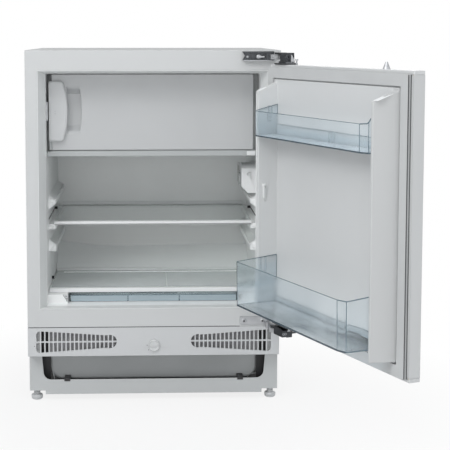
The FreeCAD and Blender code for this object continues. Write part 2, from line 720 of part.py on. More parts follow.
formed("flap_pins", Part.makeCompound([low_pin, high_pin]))
formed(
    "flap_handle",
    bulged(
        -Size.flap_left - Size.handle_over,
        -Size.flap_left - Size.handle_over + Size.handle_wide,
        Size.handle_bulge,
        (flap_front - Size.handle_thick, flap_front),
        (flap_low + Size.handle_low_in, flap_high - Size.handle_high_in),
    ),
)

bushes = piece("flap_bushes")
for start in (f"{ICE_FLOOR} - bush_deep", CEILING):
    rod(bushes, "bush_round", (FLAP_PIN_X, FLAP_PIN_Y, start), "bush_deep")
rod(
    bushes,
    "flap_pin + run_gap",
    (FLAP_PIN_X, FLAP_PIN_Y, f"{ICE_FLOOR} - bush_deep - overrun"),
    f"{CEILING} - {ICE_FLOOR} + 2 * (bush_deep + overrun)",
    cut=True,
)

striker = piece("flap_striker")
block(
    striker,
    (f"-{WALL}", f"latch_wide - {WALL}"),
    ("icebox_front - latch_deep / 2", "icebox_front + latch_deep / 2"),
    (f"{ICE_UNDER} + latch_up", f"{ICE_UNDER} + latch_up + latch_long"),
)

# Lamp, thermostat and door switch in one housing on the right wall
LAMP_LEFT = f"({WALL} - lamp_out)"
LAMP_LOW = f"({RIB_TOPS[2]} + lamp_over)"
LAMP_TOP = f"({LAMP_LOW} + lamp_high)"
LAMP_PROFILE = [
    (WALL, LAMP_LOW),
    (f"{LAMP_LEFT} + lamp_slope", LAMP_LOW),
    (LAMP_LEFT, f"{LAMP_LOW} + lamp_slope"),
    (LAMP_LEFT, LAMP_TOP),
    (WALL, LAMP_TOP),
]
LENS_LOW = f"({LAMP_LOW} + lamp_slope)"
LENS_HIGH = f"({LAMP_TOP} - lamp_wall)"
KNOB_HEIGHT = f"({LAMP_LOW} + knob_up)"
SWITCH_HEIGHT = f"({LAMP_TOP} - switch_drop)"
SWITCH_X = f"({WALL} - lamp_out / 2)"
lamp_housing = piece("lamp_housing")
lamp_housing.setExpression("Placement.Base.y", bound("lamp_front"))
pad(lamp_housing, sketch_on(lamp_housing, "XZ_Plane", LAMP_PROFILE), "lamp_deep", reverse=True)
block(
    lamp_housing,
    (f"{LAMP_LEFT} - overrun", f"{WALL} - lamp_wall"),
    ("lens_front - lamp_front", "lens_back - lamp_front"),
    (LENS_LOW, LENS_HIGH),
    cut=True,
)
rod(
    lamp_housing,
    "knob_axle + run_gap",
    (f"{LAMP_LEFT} - overrun", "knob_place - lamp_front", KNOB_HEIGHT),
    "knob_axle_long + 2 * overrun",
    "x",
    cut=True,
)
rod(
    lamp_housing,
    "switch_round + run_gap",
    (SWITCH_X, "-overrun", SWITCH_HEIGHT),
    "switch_long + overrun",
    "y",
    cut=True,
)

lamp_lens = piece("lamp_lens")
block(lamp_lens, (LAMP_LEFT, f"{LAMP_LEFT} + lens_thick"), ("lens_front", "lens_back"), (LENS_LOW, LENS_HIGH))
lamp_bulb = piece("lamp_bulb")
rod(lamp_bulb, "bulb_round", (SWITCH_X, "lens_front", f"({LENS_LOW} + {LENS_HIGH}) / 2"), "bulb_long", "y")

knob = piece("thermostat_knob")
KNOB_LEFT = f"({LAMP_LEFT} - seat_gap - knob_thick)"
rod(knob, "knob_round", (KNOB_LEFT, "knob_place", KNOB_HEIGHT), "knob_thick", "x")
rod(
    knob,
    "knob_axle",
    (KNOB_LEFT, "knob_place", KNOB_HEIGHT),
    "knob_thick + seat_gap + knob_axle_long",
    "x",
)

switch = piece("door_switch_button")
rod(switch, "switch_round", (SWITCH_X, "lamp_front - switch_out", SWITCH_HEIGHT), "switch_long", "y")

# Glass shelf with its trims
SHELF_LOW = f"({SHELF_SEAT} + seat_gap)"
SHELF_TOP = f"({SHELF_LOW} + shelf_glass)"
SHELF_SIDE = "(shelf_wide / 2)"
RIB_INSIDE = f"({WALL} - rib_out - side_gap)"
SHELF_BACK = "(rib_front + shelf_deep)"
shelf = piece("shelf_glass_plate")
block(shelf, both(SHELF_SIDE), ("rib_front", SHELF_BACK), (SHELF_LOW, SHELF_TOP))
shelf_trims = piece("shelf_trims")
TRIM_TOP = f"({SHELF_TOP} + trim_wall)"
block(
    shelf_trims,
    both(SHELF_SIDE),
    ("rib_front - trim_wall", "rib_front + trim_deep"),
    (f"{TRIM_TOP} - trim_high", TRIM_TOP),
)
block(
    shelf_trims,
    both(f"{SHELF_SIDE} + overrun"),
    ("rib_front", "rib_front + trim_deep + overrun"),
    (SHELF_LOW, SHELF_TOP),
    cut=True,
)
for side in ((f"-{SHELF_SIDE} - overrun", f"-{RIB_INSIDE}"), (RIB_INSIDE, f"{SHELF_SIDE} + overrun")):
    block(
        shelf_trims,
        side,
        ("rib_front - side_gap", "rib_front + trim_deep + overrun"),
        (f"{TRIM_TOP} - trim_high - overrun", SHELF_LOW),
        cut=True,
    )
block(
    shelf_trims,
    both(SHELF_SIDE),
    (f"{SHELF_BACK} - trim_deep", f"{SHELF_BACK} + trim_wall"),
    (SHELF_LOW, f"{SHELF_TOP} + trim_high"),
)
block(
    shelf_trims,
    both(f"{SHELF_SIDE} + overrun"),
    (f"{SHELF_BACK} - trim_deep - overrun", SHELF_BACK),
    (f"{SHELF_LOW} - overrun", SHELF_TOP),
    cut=True,
)
block(
    shelf_trims,
    both(f"{SHELF_SIDE} + overrun"),
    (f"{SHELF_BACK} - trim_deep - overrun", f"{SHELF_BACK} - trim_wall"),
    (f"{SHELF_TOP} + trim_wall", f"{SHELF_TOP} + trim_high + overrun"),
    cut=True,
)

# Crisper: glass cover with trims on the side steps, and the drawer under it
COVER_LOW = f"({STEP_TOP} + seat_gap)"
COVER_SIDE = f"({WALL} - side_gap)"
COVER_BACK = "(hump_front - side_gap)"
COVER_TRIM_TOP = f"({COVER_LOW} + cover_trim_high)"
cover = piece("crisper_cover_glass")
block(
    cover,
    both(COVER_SIDE),
    ("cover_front + trim_wall", COVER_BACK),
    (COVER_LOW, f"{COVER_LOW} + cover_glass"),
)
cover_trim = piece("crisper_cover_trims")
block(
    cover_trim,
    both(COVER_SIDE),
    ("cover_front", "cover_front + cover_trim_deep"),
    (COVER_LOW, COVER_TRIM_TOP),
)
block(
    cover_trim,
    both(f"{COVER_SIDE} + overrun"),
    ("cover_front + trim_wall", "cover_front + cover_trim_deep + overrun"),
    (f"{COVER_LOW} - overrun", f"{COVER_LOW} + cover_glass"),
    cut=True,
)
block(
    cover_trim,
    both(COVER_SIDE),
    (f"{COVER_BACK} - cover_trim_deep", COVER_BACK),
    (f"{COVER_LOW} + cover_glass", COVER_TRIM_TOP),
)

DRAWER_SIDE = f"({WALL} - step_wide - side_gap)"
DRAWER_FRONT = "(cover_front + drawer_in)"
DRAWER_LOW = f"({FLOOR} + seat_gap)"
DRAWER_TOP = f"({STEP_TOP} - drawer_in)"
drawer = piece("crisper_drawer")
block(drawer, both(DRAWER_SIDE), (DRAWER_FRONT, f"{DRAWER_FRONT} + drawer_deep"), (DRAWER_LOW, DRAWER_TOP))
block(
    drawer,
    both("grip_wide / 2"),
    (f"{DRAWER_FRONT} - grip_deep", DRAWER_FRONT),
    (f"{DRAWER_TOP} - grip_wall", DRAWER_TOP),
)
block(
    drawer,
    both(f"{DRAWER_SIDE} - drawer_wall"),
    (f"{DRAWER_FRONT} + drawer_wall", f"{DRAWER_FRONT} + drawer_deep - drawer_wall"),
    (f"{DRAWER_LOW} + drawer_wall", f"{DRAWER_TOP} + overrun"),
    cut=True,
)

# Grille panel with two fans of slots, the baffle behind it and its quarter-turn cap
def fan_slots(side):
    """The slots of one fan: its rounded window without the bars and the rib across."""
    y_front, y_back = -Size.overrun, Size.grille_sheet + Size.overrun
    middle, corner = Size.fan_middle, Size.fan_corner
    outer, tip = Size.fan_outer, Size.fan_inner
    high, low = Size.fan_outer_half, Size.fan_inner_half
    nose = tip + Size.fan_nose
    bend = corner * (1 - math.sqrt(0.5))

    def at(x, z):
        return Vector(side * x, y_front, middle + z)

    outline = [
        Part.LineSegment(at(nose, low), at(outer - corner, high)),
        Part.Arc(at(outer - corner, high), at(outer - bend, high - bend), at(outer, high - corner)),
        Part.LineSegment(at(outer, high - corner), at(outer, corner - high)),
        Part.Arc(at(outer, corner - high), at(outer - bend, bend - high), at(outer - corner, -high)),
        Part.LineSegment(at(outer - corner, -high), at(nose, -low)),
        Part.Arc(at(nose, -low), at(tip, 0), at(nose, low)),
    ]
    wire = Part.Wire([edge.toShape() for edge in outline])
    window = Part.Face(wire).extrude(Vector(0, y_back - y_front, 0))
    y_span = (y_front - Size.overrun, y_back + Size.overrun)
    bars = [
        solid_block(
            sorted((side * (x - Size.bar_wide / 2), side * (x + Size.bar_wide / 2))),
            y_span,
            (middle - high, middle + high),
        )
        for x in (tip + Size.bar_pitch * number for number in range(1, BARS + 1))
    ]
    rib = solid_block(
        sorted((side * tip, side * outer)),
        y_span,
        (middle - Size.rib_across / 2, middle + Size.rib_across / 2),
    )
    return window.cut(bars + [rib])


panel = solid_block((-half, half), (0, Size.grille_sheet), (Size.base_top, Size.frame_low))
for side in (-1, 1):
    panel = panel.fuse(
        solid_block(
            sorted((side * (half - Size.grille_sheet), side * half)),
            (0, Size.frame_thick),
            (Size.base_top, Size.frame_low),
        )
    )
for side in (-1, 1):
    panel = panel.cut(fan_slots(side))
cap_hole = Part.makeCylinder(
    Size.cap_axle + Size.run_gap,
    Size.grille_sheet + 2 * Size.overrun,
    Vector(0, -Size.overrun, Size.cap_middle),
    Vector(0, 1, 0),
)
formed("grille_panel", panel.cut(cap_hole).removeSplitter())

baffle = piece("air_baffle")
block(baffle, both(f"{HALF} - baffle_in"), ("baffle_back", "baffle_back + skin"), ("base_top", "frame_low"))

cap = piece("grille_cap")
rod(cap, "cap_round", ("0", "-seat_gap - cap_thick", "cap_middle"), "cap_thick", "y")
rod(
    cap,
    "cap_axle",
    ("0", "-seat_gap - cap_thick", "cap_middle"),
    "cap_thick + seat_gap + cap_axle_long",
    "y",
)
block(
    cap,
    both("cap_round - cap_thick"),
    ("-seat_gap - cap_thick - cap_bar_out", "-seat_gap"),
    ("cap_middle - cap_bar_high / 2", "cap_middle + cap_bar_high / 2"),
)

# Base frame with its front window, floor rails and rear cross piece
FOOT_X = f"({HALF} - foot_side)"
FEET = {
    "foot_front_left": (f"-{FOOT_X}", "foot_front"),
    "foot_front_right": (FOOT_X, "foot_front"),
    "foot_rear_left": (f"-{FOOT_X}", "foot_rear"),
    "foot_rear_right": (FOOT_X, "foot_rear"),
}
base_frame = piece("base_frame")
base_frame.setExpression("Placement.Base.y", bound("base_back"))
BASE_OUTLINE = [
    (f"-{HALF}", "base_low"),
    (f"-{HALF}", "base_top"),
    (HALF, "base_top"),
    (HALF, "base_low"),
    (f"{HALF} - corner_wide", "base_low"),
    (f"{HALF} - corner_wide", "base_skirt"),
    (f"corner_wide - {HALF}", "base_skirt"),
    (f"corner_wide - {HALF}", "base_low"),
]
WINDOW_OUTLINE = [
    (f"window_top_side - {HALF}", "window_top"),
    (f"{HALF} - window_top_side", "window_top"),
    (f"{HALF} - window_low_side", "window_low"),
    (f"window_low_side - {HALF}", "window_low"),
]
pad(base_frame, sketch_on(base_frame, "XZ_Plane", BASE_OUTLINE), "base_wall", reverse=True)
pocket(
    base_frame,
    sketch_on(base_frame, "XZ_Plane", WINDOW_OUTLINE),
    "2 * (base_wall + overrun)",
    middle=True,
)
rounded(
    base_frame,
    "window_round",
    lambda middle, edge: abs(middle.z - Size.window_low) < NEAR
    and abs(abs(middle.x) - (half - Size.window_low_side)) < NEAR,
)
BASE_DEPTH = "(cab_deep - base_back)"
for side in ((f"-{HALF}", f"base_wall - {HALF}"), (f"{HALF} - base_wall", HALF)):
    block(base_frame, side, ("0", BASE_DEPTH), ("base_low", "base_top"))
for side in ((f"-{HALF}", f"base_rail - {HALF}"), (f"{HALF} - base_rail", HALF)):
    block(base_frame, side, ("0", BASE_DEPTH), ("base_low", "base_low + rail_thick"))
block(
    base_frame,
    both(HALF),
    (f"{BASE_DEPTH} - base_wall", BASE_DEPTH),
    ("base_low", "base_low + base_rear_high"),
)
for across, deep in FEET.values():
    rod(
        base_frame,
        "foot_stem + foot_gap",
        (across, f"{deep} - base_back", "base_low - overrun"),
        "rail_thick + 2 * overrun",
        cut=True,
    )

FOOT_OUTLINE = [
    ("0", "0"),
    ("foot_round - foot_edge", "0"),
    ("foot_round", "foot_edge"),
    ("foot_round", "foot_high - foot_edge"),
    ("foot_neck", "foot_high"),
    ("foot_neck", "base_low - seat_gap"),
    ("foot_stem", "base_low - seat_gap"),
    ("foot_stem", "base_low + foot_stem_up"),
    ("0", "base_low + foot_stem_up"),
]
for label, (across, deep) in FEET.items():
    foot = piece(label)
    foot.setExpression("Placement.Base.x", bound(across))
    foot.setExpression("Placement.Base.y", bound(deep))
    turned(foot, FOOT_OUTLINE)


def round_tub(x_half, y, z, radius):
    """A block whose two lower long edges are rounded."""
    tub = solid_block((-x_half, x_half), y, z)
    low_edges = [
        edge
        for edge in tub.Edges
        if abs(edge.CenterOfMass.z - z[0]) < NEAR and abs(abs(edge.CenterOfMass.x) - x_half) < NEAR
    ]
    return tub.makeFillet(radius, low_edges)


shroud_half = half - Size.shroud_side
shroud_back = Size.shroud_front + Size.shroud_deep
shroud = round_tub(
    shroud_half,
    (Size.shroud_front, shroud_back),
    (Size.shroud_low, Size.frame_low),
    Size.shroud_round,
).cut(
    round_tub(
        shroud_half - Size.shroud_wall,
        (Size.shroud_front + Size.shroud_wall, shroud_back + Size.overrun),
        (Size.shroud_low + Size.shroud_wall, Size.frame_low + Size.overrun),
        Size.shroud_round - Size.shroud_wall,
    )
)
formed("underbody_shroud", shroud)

clips = piece("shroud_clips")
for centre in ("-clip_place", "clip_place"):
    across = (f"{centre} - clip_wide / 2", f"{centre} + clip_wide / 2")
    block(clips, across, ("base_back - clip_lip", "shroud_front"), ("window_low", "window_low + clip_high"))
    block(clips, across, ("base_back - clip_lip", "base_back"), ("window_low - clip_high", "window_low"))

# Sheet on the rails under the shroud, with a wing on either side of it
PLATE_LOW = "(base_low + rail_thick)"
PAN_SIDE = f"({HALF} - base_wall - seat_gap)"
SHROUD_SIDE = f"({HALF} - shroud_side + seat_gap)"
pan = piece("bay_sheet")
block(
    pan,
    both(PAN_SIDE),
    ("base_back + base_wall + seat_gap", "plate_front - seat_gap"),
    (PLATE_LOW, f"{PLATE_LOW} + pan_thick"),
)
for side in ((f"-{PAN_SIDE}", f"-{SHROUD_SIDE}"), (SHROUD_SIDE, PAN_SIDE)):
    block(pan, side, ("pan_wing", "pan_wing + pan_thick"), (PLATE_LOW, "frame_low - seat_gap"))
for across in (f"-{FOOT_X}", FOOT_X):
    low_face = f"{PLATE_LOW} - overrun"
    rod(pan, "foot_neck", (across, "foot_front", low_face), "pan_thick + 2 * overrun", cut=True)

# Compressor on its plate, condenser, dryer, pipes, tray and mains inlet
PLATE_TOP = "(base_low + rail_thick + plate_thick)"
plate = piece("compressor_plate")
block(plate, both(f"{HALF} - base_wall"), ("plate_front", "cab_deep - base_wall"), (PLATE_LOW, PLATE_TOP))
for across in (f"-{FOOT_X}", FOOT_X):
    rod(
        plate,
        "foot_neck",
        (across, "foot_rear", f"{PLATE_LOW} - overrun"),
        "plate_thick + 2 * overrun",
        cut=True,
    )

MOUNT_REACH = "(comp_foot - mount_in)"
mounts = piece("compressor_mounts")
for across in (f"comp_side - {MOUNT_REACH}", f"comp_side + {MOUNT_REACH}"):
    for deep in (f"comp_place - {MOUNT_REACH}", f"comp_place + {MOUNT_REACH}"):
        rod(mounts, "mount_round", (across, deep, PLATE_TOP), "mount_high")

plate_top = Size.base_low + Size.rail_thick + Size.plate_thick
comp_low = plate_top + Size.mount_high
shell_low = comp_low + Size.comp_foot_thick
shell_top = shell_low + Size.comp_high
shell = Part.makeCylinder(
    Size.comp_round, Size.comp_high, Vector(Size.comp_side, Size.comp_place, shell_low)
)
shell = shell.makeFillet(
    Size.comp_dome, [edge for edge in shell.Edges if isinstance(edge.Curve, Part.Circle)]
)
comp_base = solid_block(
    (Size.comp_side - Size.comp_foot, Size.comp_side + Size.comp_foot),
    (Size.comp_place - Size.comp_foot, Size.comp_place + Size.comp_foot),
    (comp_low, shell_low),
)
formed("compressor", comp_base.fuse(shell))

tray_low = shell_top
tray_x = (Size.comp_side - Size.tray_wide / 2, Size.comp_side + Size.tray_wide / 2)
tray_y = (Size.comp_place - Size.tray_deep / 2, Size.comp_place + Size.tray_deep / 2)
tray = solid_block(tray_x, tray_y, (tray_low, tray_low + Size.tray_high)).cut(
    solid_block(
        (tray_x[0] + Size.tray_wall, tray_x[1] - Size.tray_wall),
        (tray_y[0] + Size.tray_wall, tray_y[1] - Size.tray_wall),
        (tray_low + Size.tray_wall, tray_low + Size.tray_high + Size.overrun),
    )
)
formed("evaporating_tray", tray)


def tube(points, bend):
    """A tube in the compressor's upright middle plane: straight runs joined by bends."""
    places = [Vector(x, Size.comp_place, z) for x, z in points]
    edges, start = [], places[0]
    for before, corner, after in zip(places, places[1:], places[2:]):
        arrive = (corner - before).normalize()
        leave = (after - corner).normalize()
        into, out = corner - arrive * bend, corner + leave * bend
        centre = corner + (leave - arrive) * bend
        middle = centre + (corner - centre).normalize() * bend
        if (into - start).Length > SAME:
            edges.append(Part.LineSegment(start, into).toShape())
        edges.append(Part.Arc(into, middle, out).toShape())
        start = out
    if (places[-1] - start).Length > SAME:
        edges.append(Part.LineSegment(start, places[-1]).toShape())
    path = Part.Wire(edges)
    facing = (places[1] - places[0]).normalize()
    ring = Part.Wire(Part.makeCircle(Size.tube_round, places[0], facing))
    return path.makePipeShell([ring], True, False)


coil_points = []
for run in range(COIL_RUNS):
    height = Size.coil_low + Size.coil_rise * run
    ends = [(-Size.coil_right, height), (-Size.coil_left, height)]
    coil_points += ends if run % 2 == 0 else ends[::-1]
coil_top = coil_points[-1][1]
formed("condenser_coil", tube(coil_points, Size.coil_rise / 2))

rails = piece("condenser_rails")
for centre in ("-coil_left + coil_rail_in", "-coil_right - coil_rail_in"):
    block(
        rails,
        (f"{centre} - coil_rail / 2", f"{centre} + coil_rail / 2"),
        ("comp_place + tube_round + seat_gap", "comp_place + tube_round + seat_gap + coil_rail"),
        (PLATE_TOP, f"coil_low + {COIL_RUNS - 1} * coil_rise + coil_rail"),
    )

dryer = piece("filter_dryer")
rod(
    dryer,
    "dryer_round",
    ("-coil_right", "comp_place", f"coil_low + {COIL_RUNS - 1} * coil_rise"),
    "dryer_long",
    "x",
)

pipe_middle = shell_low + Size.comp_high / 2
roof = Size.bay_roof - Size.skin
shell_left = Size.comp_side - Size.comp_round
shell_right = Size.comp_side + Size.comp_round
bend = Size.pipe_bend
dryer_end = Size.dryer_long - Size.coil_right
discharge = tube(
    [
        (shell_left, pipe_middle),
        (bend - Size.coil_right, pipe_middle),
        (bend - Size.coil_right, Size.coil_low),
        (-Size.coil_right, Size.coil_low),
    ],
    bend,
)
suction = tube(
    [(shell_right, pipe_middle), (shell_right + bend, pipe_middle), (shell_right + bend, roof)],
    bend,
)
capillary = tube([(dryer_end, coil_top), (dryer_end + bend, coil_top), (dryer_end + bend, roof)], bend)
formed("refrigerant_pipes", Part.makeCompound([discharge, suction, capillary]))

inlet = piece("mains_inlet")
INLET_LOW = "(base_low + base_rear_high)"
INLET_MIDDLE = "(base_low + base_rear_high + inlet_high / 2)"
block(
    inlet,
    ("-inlet_side - inlet_wide / 2", "-inlet_side + inlet_wide / 2"),
    ("cab_deep - inlet_deep", "cab_deep"),
    (INLET_LOW, f"{INLET_LOW} + inlet_high"),
)
block(
    inlet,
    ("-inlet_side - inlet_well_wide / 2", "-inlet_side + inlet_well_wide / 2"),
    ("cab_deep - inlet_well_deep", "cab_deep + overrun"),
    (f"{INLET_MIDDLE} - inlet_well_high / 2", f"{INLET_MIDDLE} + inlet_well_high / 2"),
    cut=True,
)

# Door, in its own frame: x from the hinge edge along the door, y from the gasket's face
# to the outer sheet. Closed, that face lies on the front frame.
pin_place = Vector(Size.door_edge + Size.pin_out, -Size.pin_in, 0)
opened = Rotation(Vector(0, 0, 1), Size.door_open)
DOOR = Placement(
    pin_place + opened.multVec(Vector(-Size.pin_out, Size.pin_in, 0)),
    Rotation(Vector(0, 0, 1), 180 + Size.door_open),
)
EDGES = ("-door_lap", "gasket_wide + door_lap")
INSIDE_EDGES = ("-door_lap + skin", "gasket_wide + door_lap - skin")
GASKET_LOW = "(door_low + gasket_low_in)"
GASKET_HIGH = "(door_high - gasket_high_in)"
RIB_LOW = f"({GASKET_LOW} + rib_low_in)"
RIB_HIGH = f"({GASKET_HIGH} - rib_high_in)"
RIB_FAR = "(gasket_wide - far_root_in)"
SHEET_LOW = "(door_low + cap_high)"
SHEET_HIGH = "(door_high - cap_high)"
FIELD = "(gasket_thick - panel_out)"

door_skin = piece("door_outer_skin", DOOR)
block(door_skin, EDGES, ("door_return", "door_thick"), (SHEET_LOW, SHEET_HIGH))
block(
    door_skin,
    INSIDE_EDGES,
    ("door_return - overrun", "door_thick - skin"),
    (f"{SHEET_LOW} - overrun", f"{SHEET_HIGH} + overrun"),
    cut=True,
)
for label, low, high in (
    ("door_bottom_cap", "door_low", SHEET_LOW),
    ("door_top_cap", SHEET_HIGH, "door_high"),
):
    block(piece(label, DOOR), EDGES, ("door_return", "door_thick"), (low, high))

FIELD_SPAN = ("rib_near", RIB_FAR)
FIELD_LOW = f"({GASKET_LOW} + gasket_band + field_gap)"
FIELD_HIGH = f"({GASKET_HIGH} - gasket_band - field_gap)"
HOLLOW_SPAN = ("rib_near + liner_wall", f"{RIB_FAR} - liner_wall")
HOLLOW_HEIGHT = (f"{FIELD_LOW} + liner_wall", f"{FIELD_HIGH} - liner_wall")
door_foam = piece("door_foam", DOOR)
block(door_foam, INSIDE_EDGES, ("door_return", "door_thick - skin"), (SHEET_LOW, SHEET_HIGH))
block(door_foam, HOLLOW_SPAN, (f"{FIELD} + liner_wall", "door_return"), HOLLOW_HEIGHT)

door_liner = piece("door_liner", DOOR)
block(door_liner, INSIDE_EDGES, ("gasket_thick", "door_return"), (SHEET_LOW, SHEET_HIGH))
block(door_liner, FIELD_SPAN, (FIELD, "gasket_thick"), (FIELD_LOW, FIELD_HIGH))
block(door_liner, HOLLOW_SPAN, (f"{FIELD} + liner_wall", "door_return + overrun"), HOLLOW_HEIGHT, cut=True)
RIB_OUTLINES = (
    [
        ("rib_near", FIELD),
        ("rib_near + rib_near_lean", "-rib_depth"),
        ("rib_near_inner", "-rib_depth"),
        ("rib_near_inner", FIELD),
    ],
    [
        ("gasket_wide - far_inner_in", FIELD),
        ("gasket_wide - far_inner_in", "-rib_depth"),
        ("gasket_wide - far_edge_in", "-rib_depth"),
        (RIB_FAR, FIELD),
    ],
)
for outline in RIB_OUTLINES:
    pad(door_liner, sketch_on(door_liner, "XY_Plane", outline), RIB_HIGH)
SLOPE = [
    (FIELD, RIB_HIGH),
    ("-rib_depth", f"{RIB_HIGH} - rib_slope"),
    ("-rib_depth - overrun", f"{RIB_HIGH} - rib_slope"),
    ("-rib_depth - overrun", f"{RIB_HIGH} + overrun"),
    (FIELD, f"{RIB_HIGH} + overrun"),
]
pocket(door_liner, sketch_on(door_liner, "YZ_Plane", SLOPE), "2 * gasket_wide", middle=True)
block(
    door_liner,
    ("-overrun", "gasket_wide"),
    ("-rib_depth - overrun", FIELD),
    ("-overrun", RIB_LOW),
    cut=True,
)
block(
    door_liner,
    ("rib_near_inner - overrun", "rib_near_inner + lug_out"),
    ("-lug_reach - lug_wide / 2", "-lug_reach + lug_wide / 2"),
    ("lug_place - lug_long / 2", "lug_place + lug_long / 2"),
)
BIN_SEATS = ("(door_high - upper_bin_drop)", "(door_low + lower_bin_up)")
for seat in BIN_SEATS:
    for across in (
        ("rib_near_inner - overrun", "rib_near_inner + lug_bin_wide"),
        ("gasket_wide - far_inner_in - lug_bin_wide", "gasket_wide - far_inner_in + overrun"),
    ):
        block(
            door_liner,
            across,
            ("-lug_bin_in", FIELD),
            (f"{seat} - seat_gap - lug_bin_high", f"{seat} - seat_gap"),
        )

gasket = piece("door_gasket", DOOR)
block(gasket, ("0", "gasket_wide"), ("gasket_face", "gasket_thick"), (GASKET_LOW, GASKET_HIGH))
block(
    gasket,
    ("gasket_band", "gasket_wide - gasket_band"),
    ("gasket_face - overrun", "gasket_thick + overrun"),
    (f"{GASKET_LOW} + gasket_band", f"{GASKET_HIGH} - gasket_band"),
    cut=True,
)


def door_bin(name, low):
    """A bin between the door's ribs: bevelled far corner, and sides higher than its front."""
    high, rise, out, lip = (f"{name}_{what}" for what in ("high", "rise", "out", "back"))
    near, far = "(rib_near_inner + bin_side_gap)", "(gasket_wide - far_inner_in - bin_side_gap)"
    back = f"({FIELD} - seat_gap)"
    made = piece(name, DOOR)
    made.Placement = DOOR.multiply(Placement(Vector(0, 0, low), Rotation()))
    outside = [
        (near, back),
        (near, f"-{out}"),
        (f"{far} - bin_bevel", f"-{out}"),
        (far, f"bin_bevel_deep - {out}"),
        (far, back),
    ]
    inside = [
        (f"{near} + bin_wall", f"{back} - bin_wall"),
        (f"{near} + bin_wall", f"bin_wall - {out}"),
        (f"{far} - bin_bevel - bin_wall / 6", f"bin_wall - {out}"),
        (f"{far} - bin_wall", f"bin_bevel_deep + bin_wall * 3 / 4 - {out}"),
        (f"{far} - bin_wall", f"{back} - bin_wall"),
    ]
    pad(made, sketch_on(made, "XY_Plane", outside), f"{high} + {rise}")
    hollow = sketch_on(made, "XY_Plane", inside)
    hollow.setExpression("AttachmentOffset.Base.z", bound("bin_wall"))
    pocket(made, hollow, f"{high} + {rise}", reverse=True)
    block(
        made,
        ("rib_near_inner - overrun", "gasket_wide - far_inner_in + overrun"),
        (f"-{out} - overrun", f"-{out} / 2"),
        (high, f"{high} + {rise} + overrun"),
        cut=True,
    )
    block(
        made,
        (f"{near} + bin_wall", f"{far} - bin_wall"),
        (f"{back} - bin_wall - overrun", f"{back} + overrun"),
        (lip, f"{high} + {rise} + overrun"),
        cut=True,
    )
    return made


door_bin("upper_bin", Size.door_high - Size.upper_bin_drop)
door_bin("lower_bin", Size.door_low + Size.lower_bin_up)

# Studs on the door's top edge, which hold the kitchen's own front
STUD_LINE = "(door_thick - bracket_round - top_mark)"
studs = piece("door_front_studs", DOOR)
rod(studs, "stud_round / 2", ("stud_place", STUD_LINE, "door_high"), "stud_high")
rod(studs, "stud_round", ("stud_place", STUD_LINE, "door_high + stud_high - stud_round"), "stud_round")
cone(studs, "bracket_round", "bracket_tip", ("bracket_place", STUD_LINE, "door_high"), "bracket_high")

# Hinges: an ear on the cabinet carries the pin, and the door's arm turns with it
PIN_X = "(door_edge + pin_out)"
EAR_X = (f"{PIN_X} - ear_left", f"{PIN_X} + ear_end")
TOP_EAR_LOW = "(door_high + arm_lift + arm_thick + arm_gap)"
LOW_EAR_HIGH = "(door_low - arm_lift - arm_thick - arm_gap)"
HOUSING_TOP = "(cab_top - housing_drop)"
HOUSING_LOW = f"({HOUSING_TOP} - housing_high)"
SCREW_RISE = f"({HOUSING_TOP} - housing_high / 2)"
TOP_SCREW_X = "(housing_left + screw_in)"

housing = piece("top_hinge_housing")
block(housing, ("housing_left", "housing_right"), ("-housing_deep", "0"), (HOUSING_LOW, HOUSING_TOP))
block(
    housing,
    ("housing_left - overrun", "housing_left + housing_fork"),
    ("-housing_deep - overrun", "overrun"),
    (f"{SCREW_RISE} - housing_slit / 2", f"{SCREW_RISE} + housing_slit / 2"),
    cut=True,
)
block(
    housing,
    ("housing_left + housing_fork + housing_slit", "housing_right - housing_slit"),
    ("-housing_deep - overrun", "housing_slit - housing_deep"),
    (f"{HOUSING_LOW} + housing_slit / 2", f"{HOUSING_TOP} - housing_slit / 2"),
    cut=True,
)
rod(
    housing,
    "screw_shank",
    (TOP_SCREW_X, "-housing_deep - overrun", SCREW_RISE),
    "housing_deep + 2 * overrun",
    "y",
    cut=True,
)

top_ear = piece("top_hinge_ear")
block(top_ear, EAR_X, ("-pin_in - ear_end", "-housing_deep"), (TOP_EAR_LOW, f"{TOP_EAR_LOW} + ear_thick"))
rod(
    top_ear,
    "pin_round + run_gap",
    (PIN_X, "-pin_in", f"{TOP_EAR_LOW} - overrun"),
    "ear_thick + 2 * overrun",
    cut=True,
)

low_plate = piece("bottom_hinge_plate")
block(
    low_plate,
    ("low_plate_left", "low_plate_right"),
    ("-low_plate_thick", "0"),
    ("low_plate_low", "low_plate_high"),
)
block(
    low_plate,
    (f"{PIN_X} - low_ear_left", f"{PIN_X} + ear_end"),
    ("-pin_in - ear_end", "0"),
    (f"{LOW_EAR_HIGH} - ear_thick", LOW_EAR_HIGH),
)
rod(
    low_plate,
    "pin_round + run_gap",
    (PIN_X, "-pin_in", f"{LOW_EAR_HIGH} - ear_thick - overrun"),
    "ear_thick + 2 * overrun",
    cut=True,
)
LOW_SCREWS = ("(low_plate_left + low_screw_in)", "(low_plate_right - low_screw_in)")
LOW_SCREW_RISE = "((low_plate_low + low_plate_high) / 2)"
for across in LOW_SCREWS:
    rod(
        low_plate,
        "screw_shank",
        (across, "-low_plate_thick - overrun", LOW_SCREW_RISE),
        "low_plate_thick + 2 * overrun",
        "y",
        cut=True,
    )
    rod(
        front_frame,
        "screw_shank",
        (across, "-overrun", LOW_SCREW_RISE),
        "frame_thick + 2 * overrun",
        "y",
        cut=True,
    )

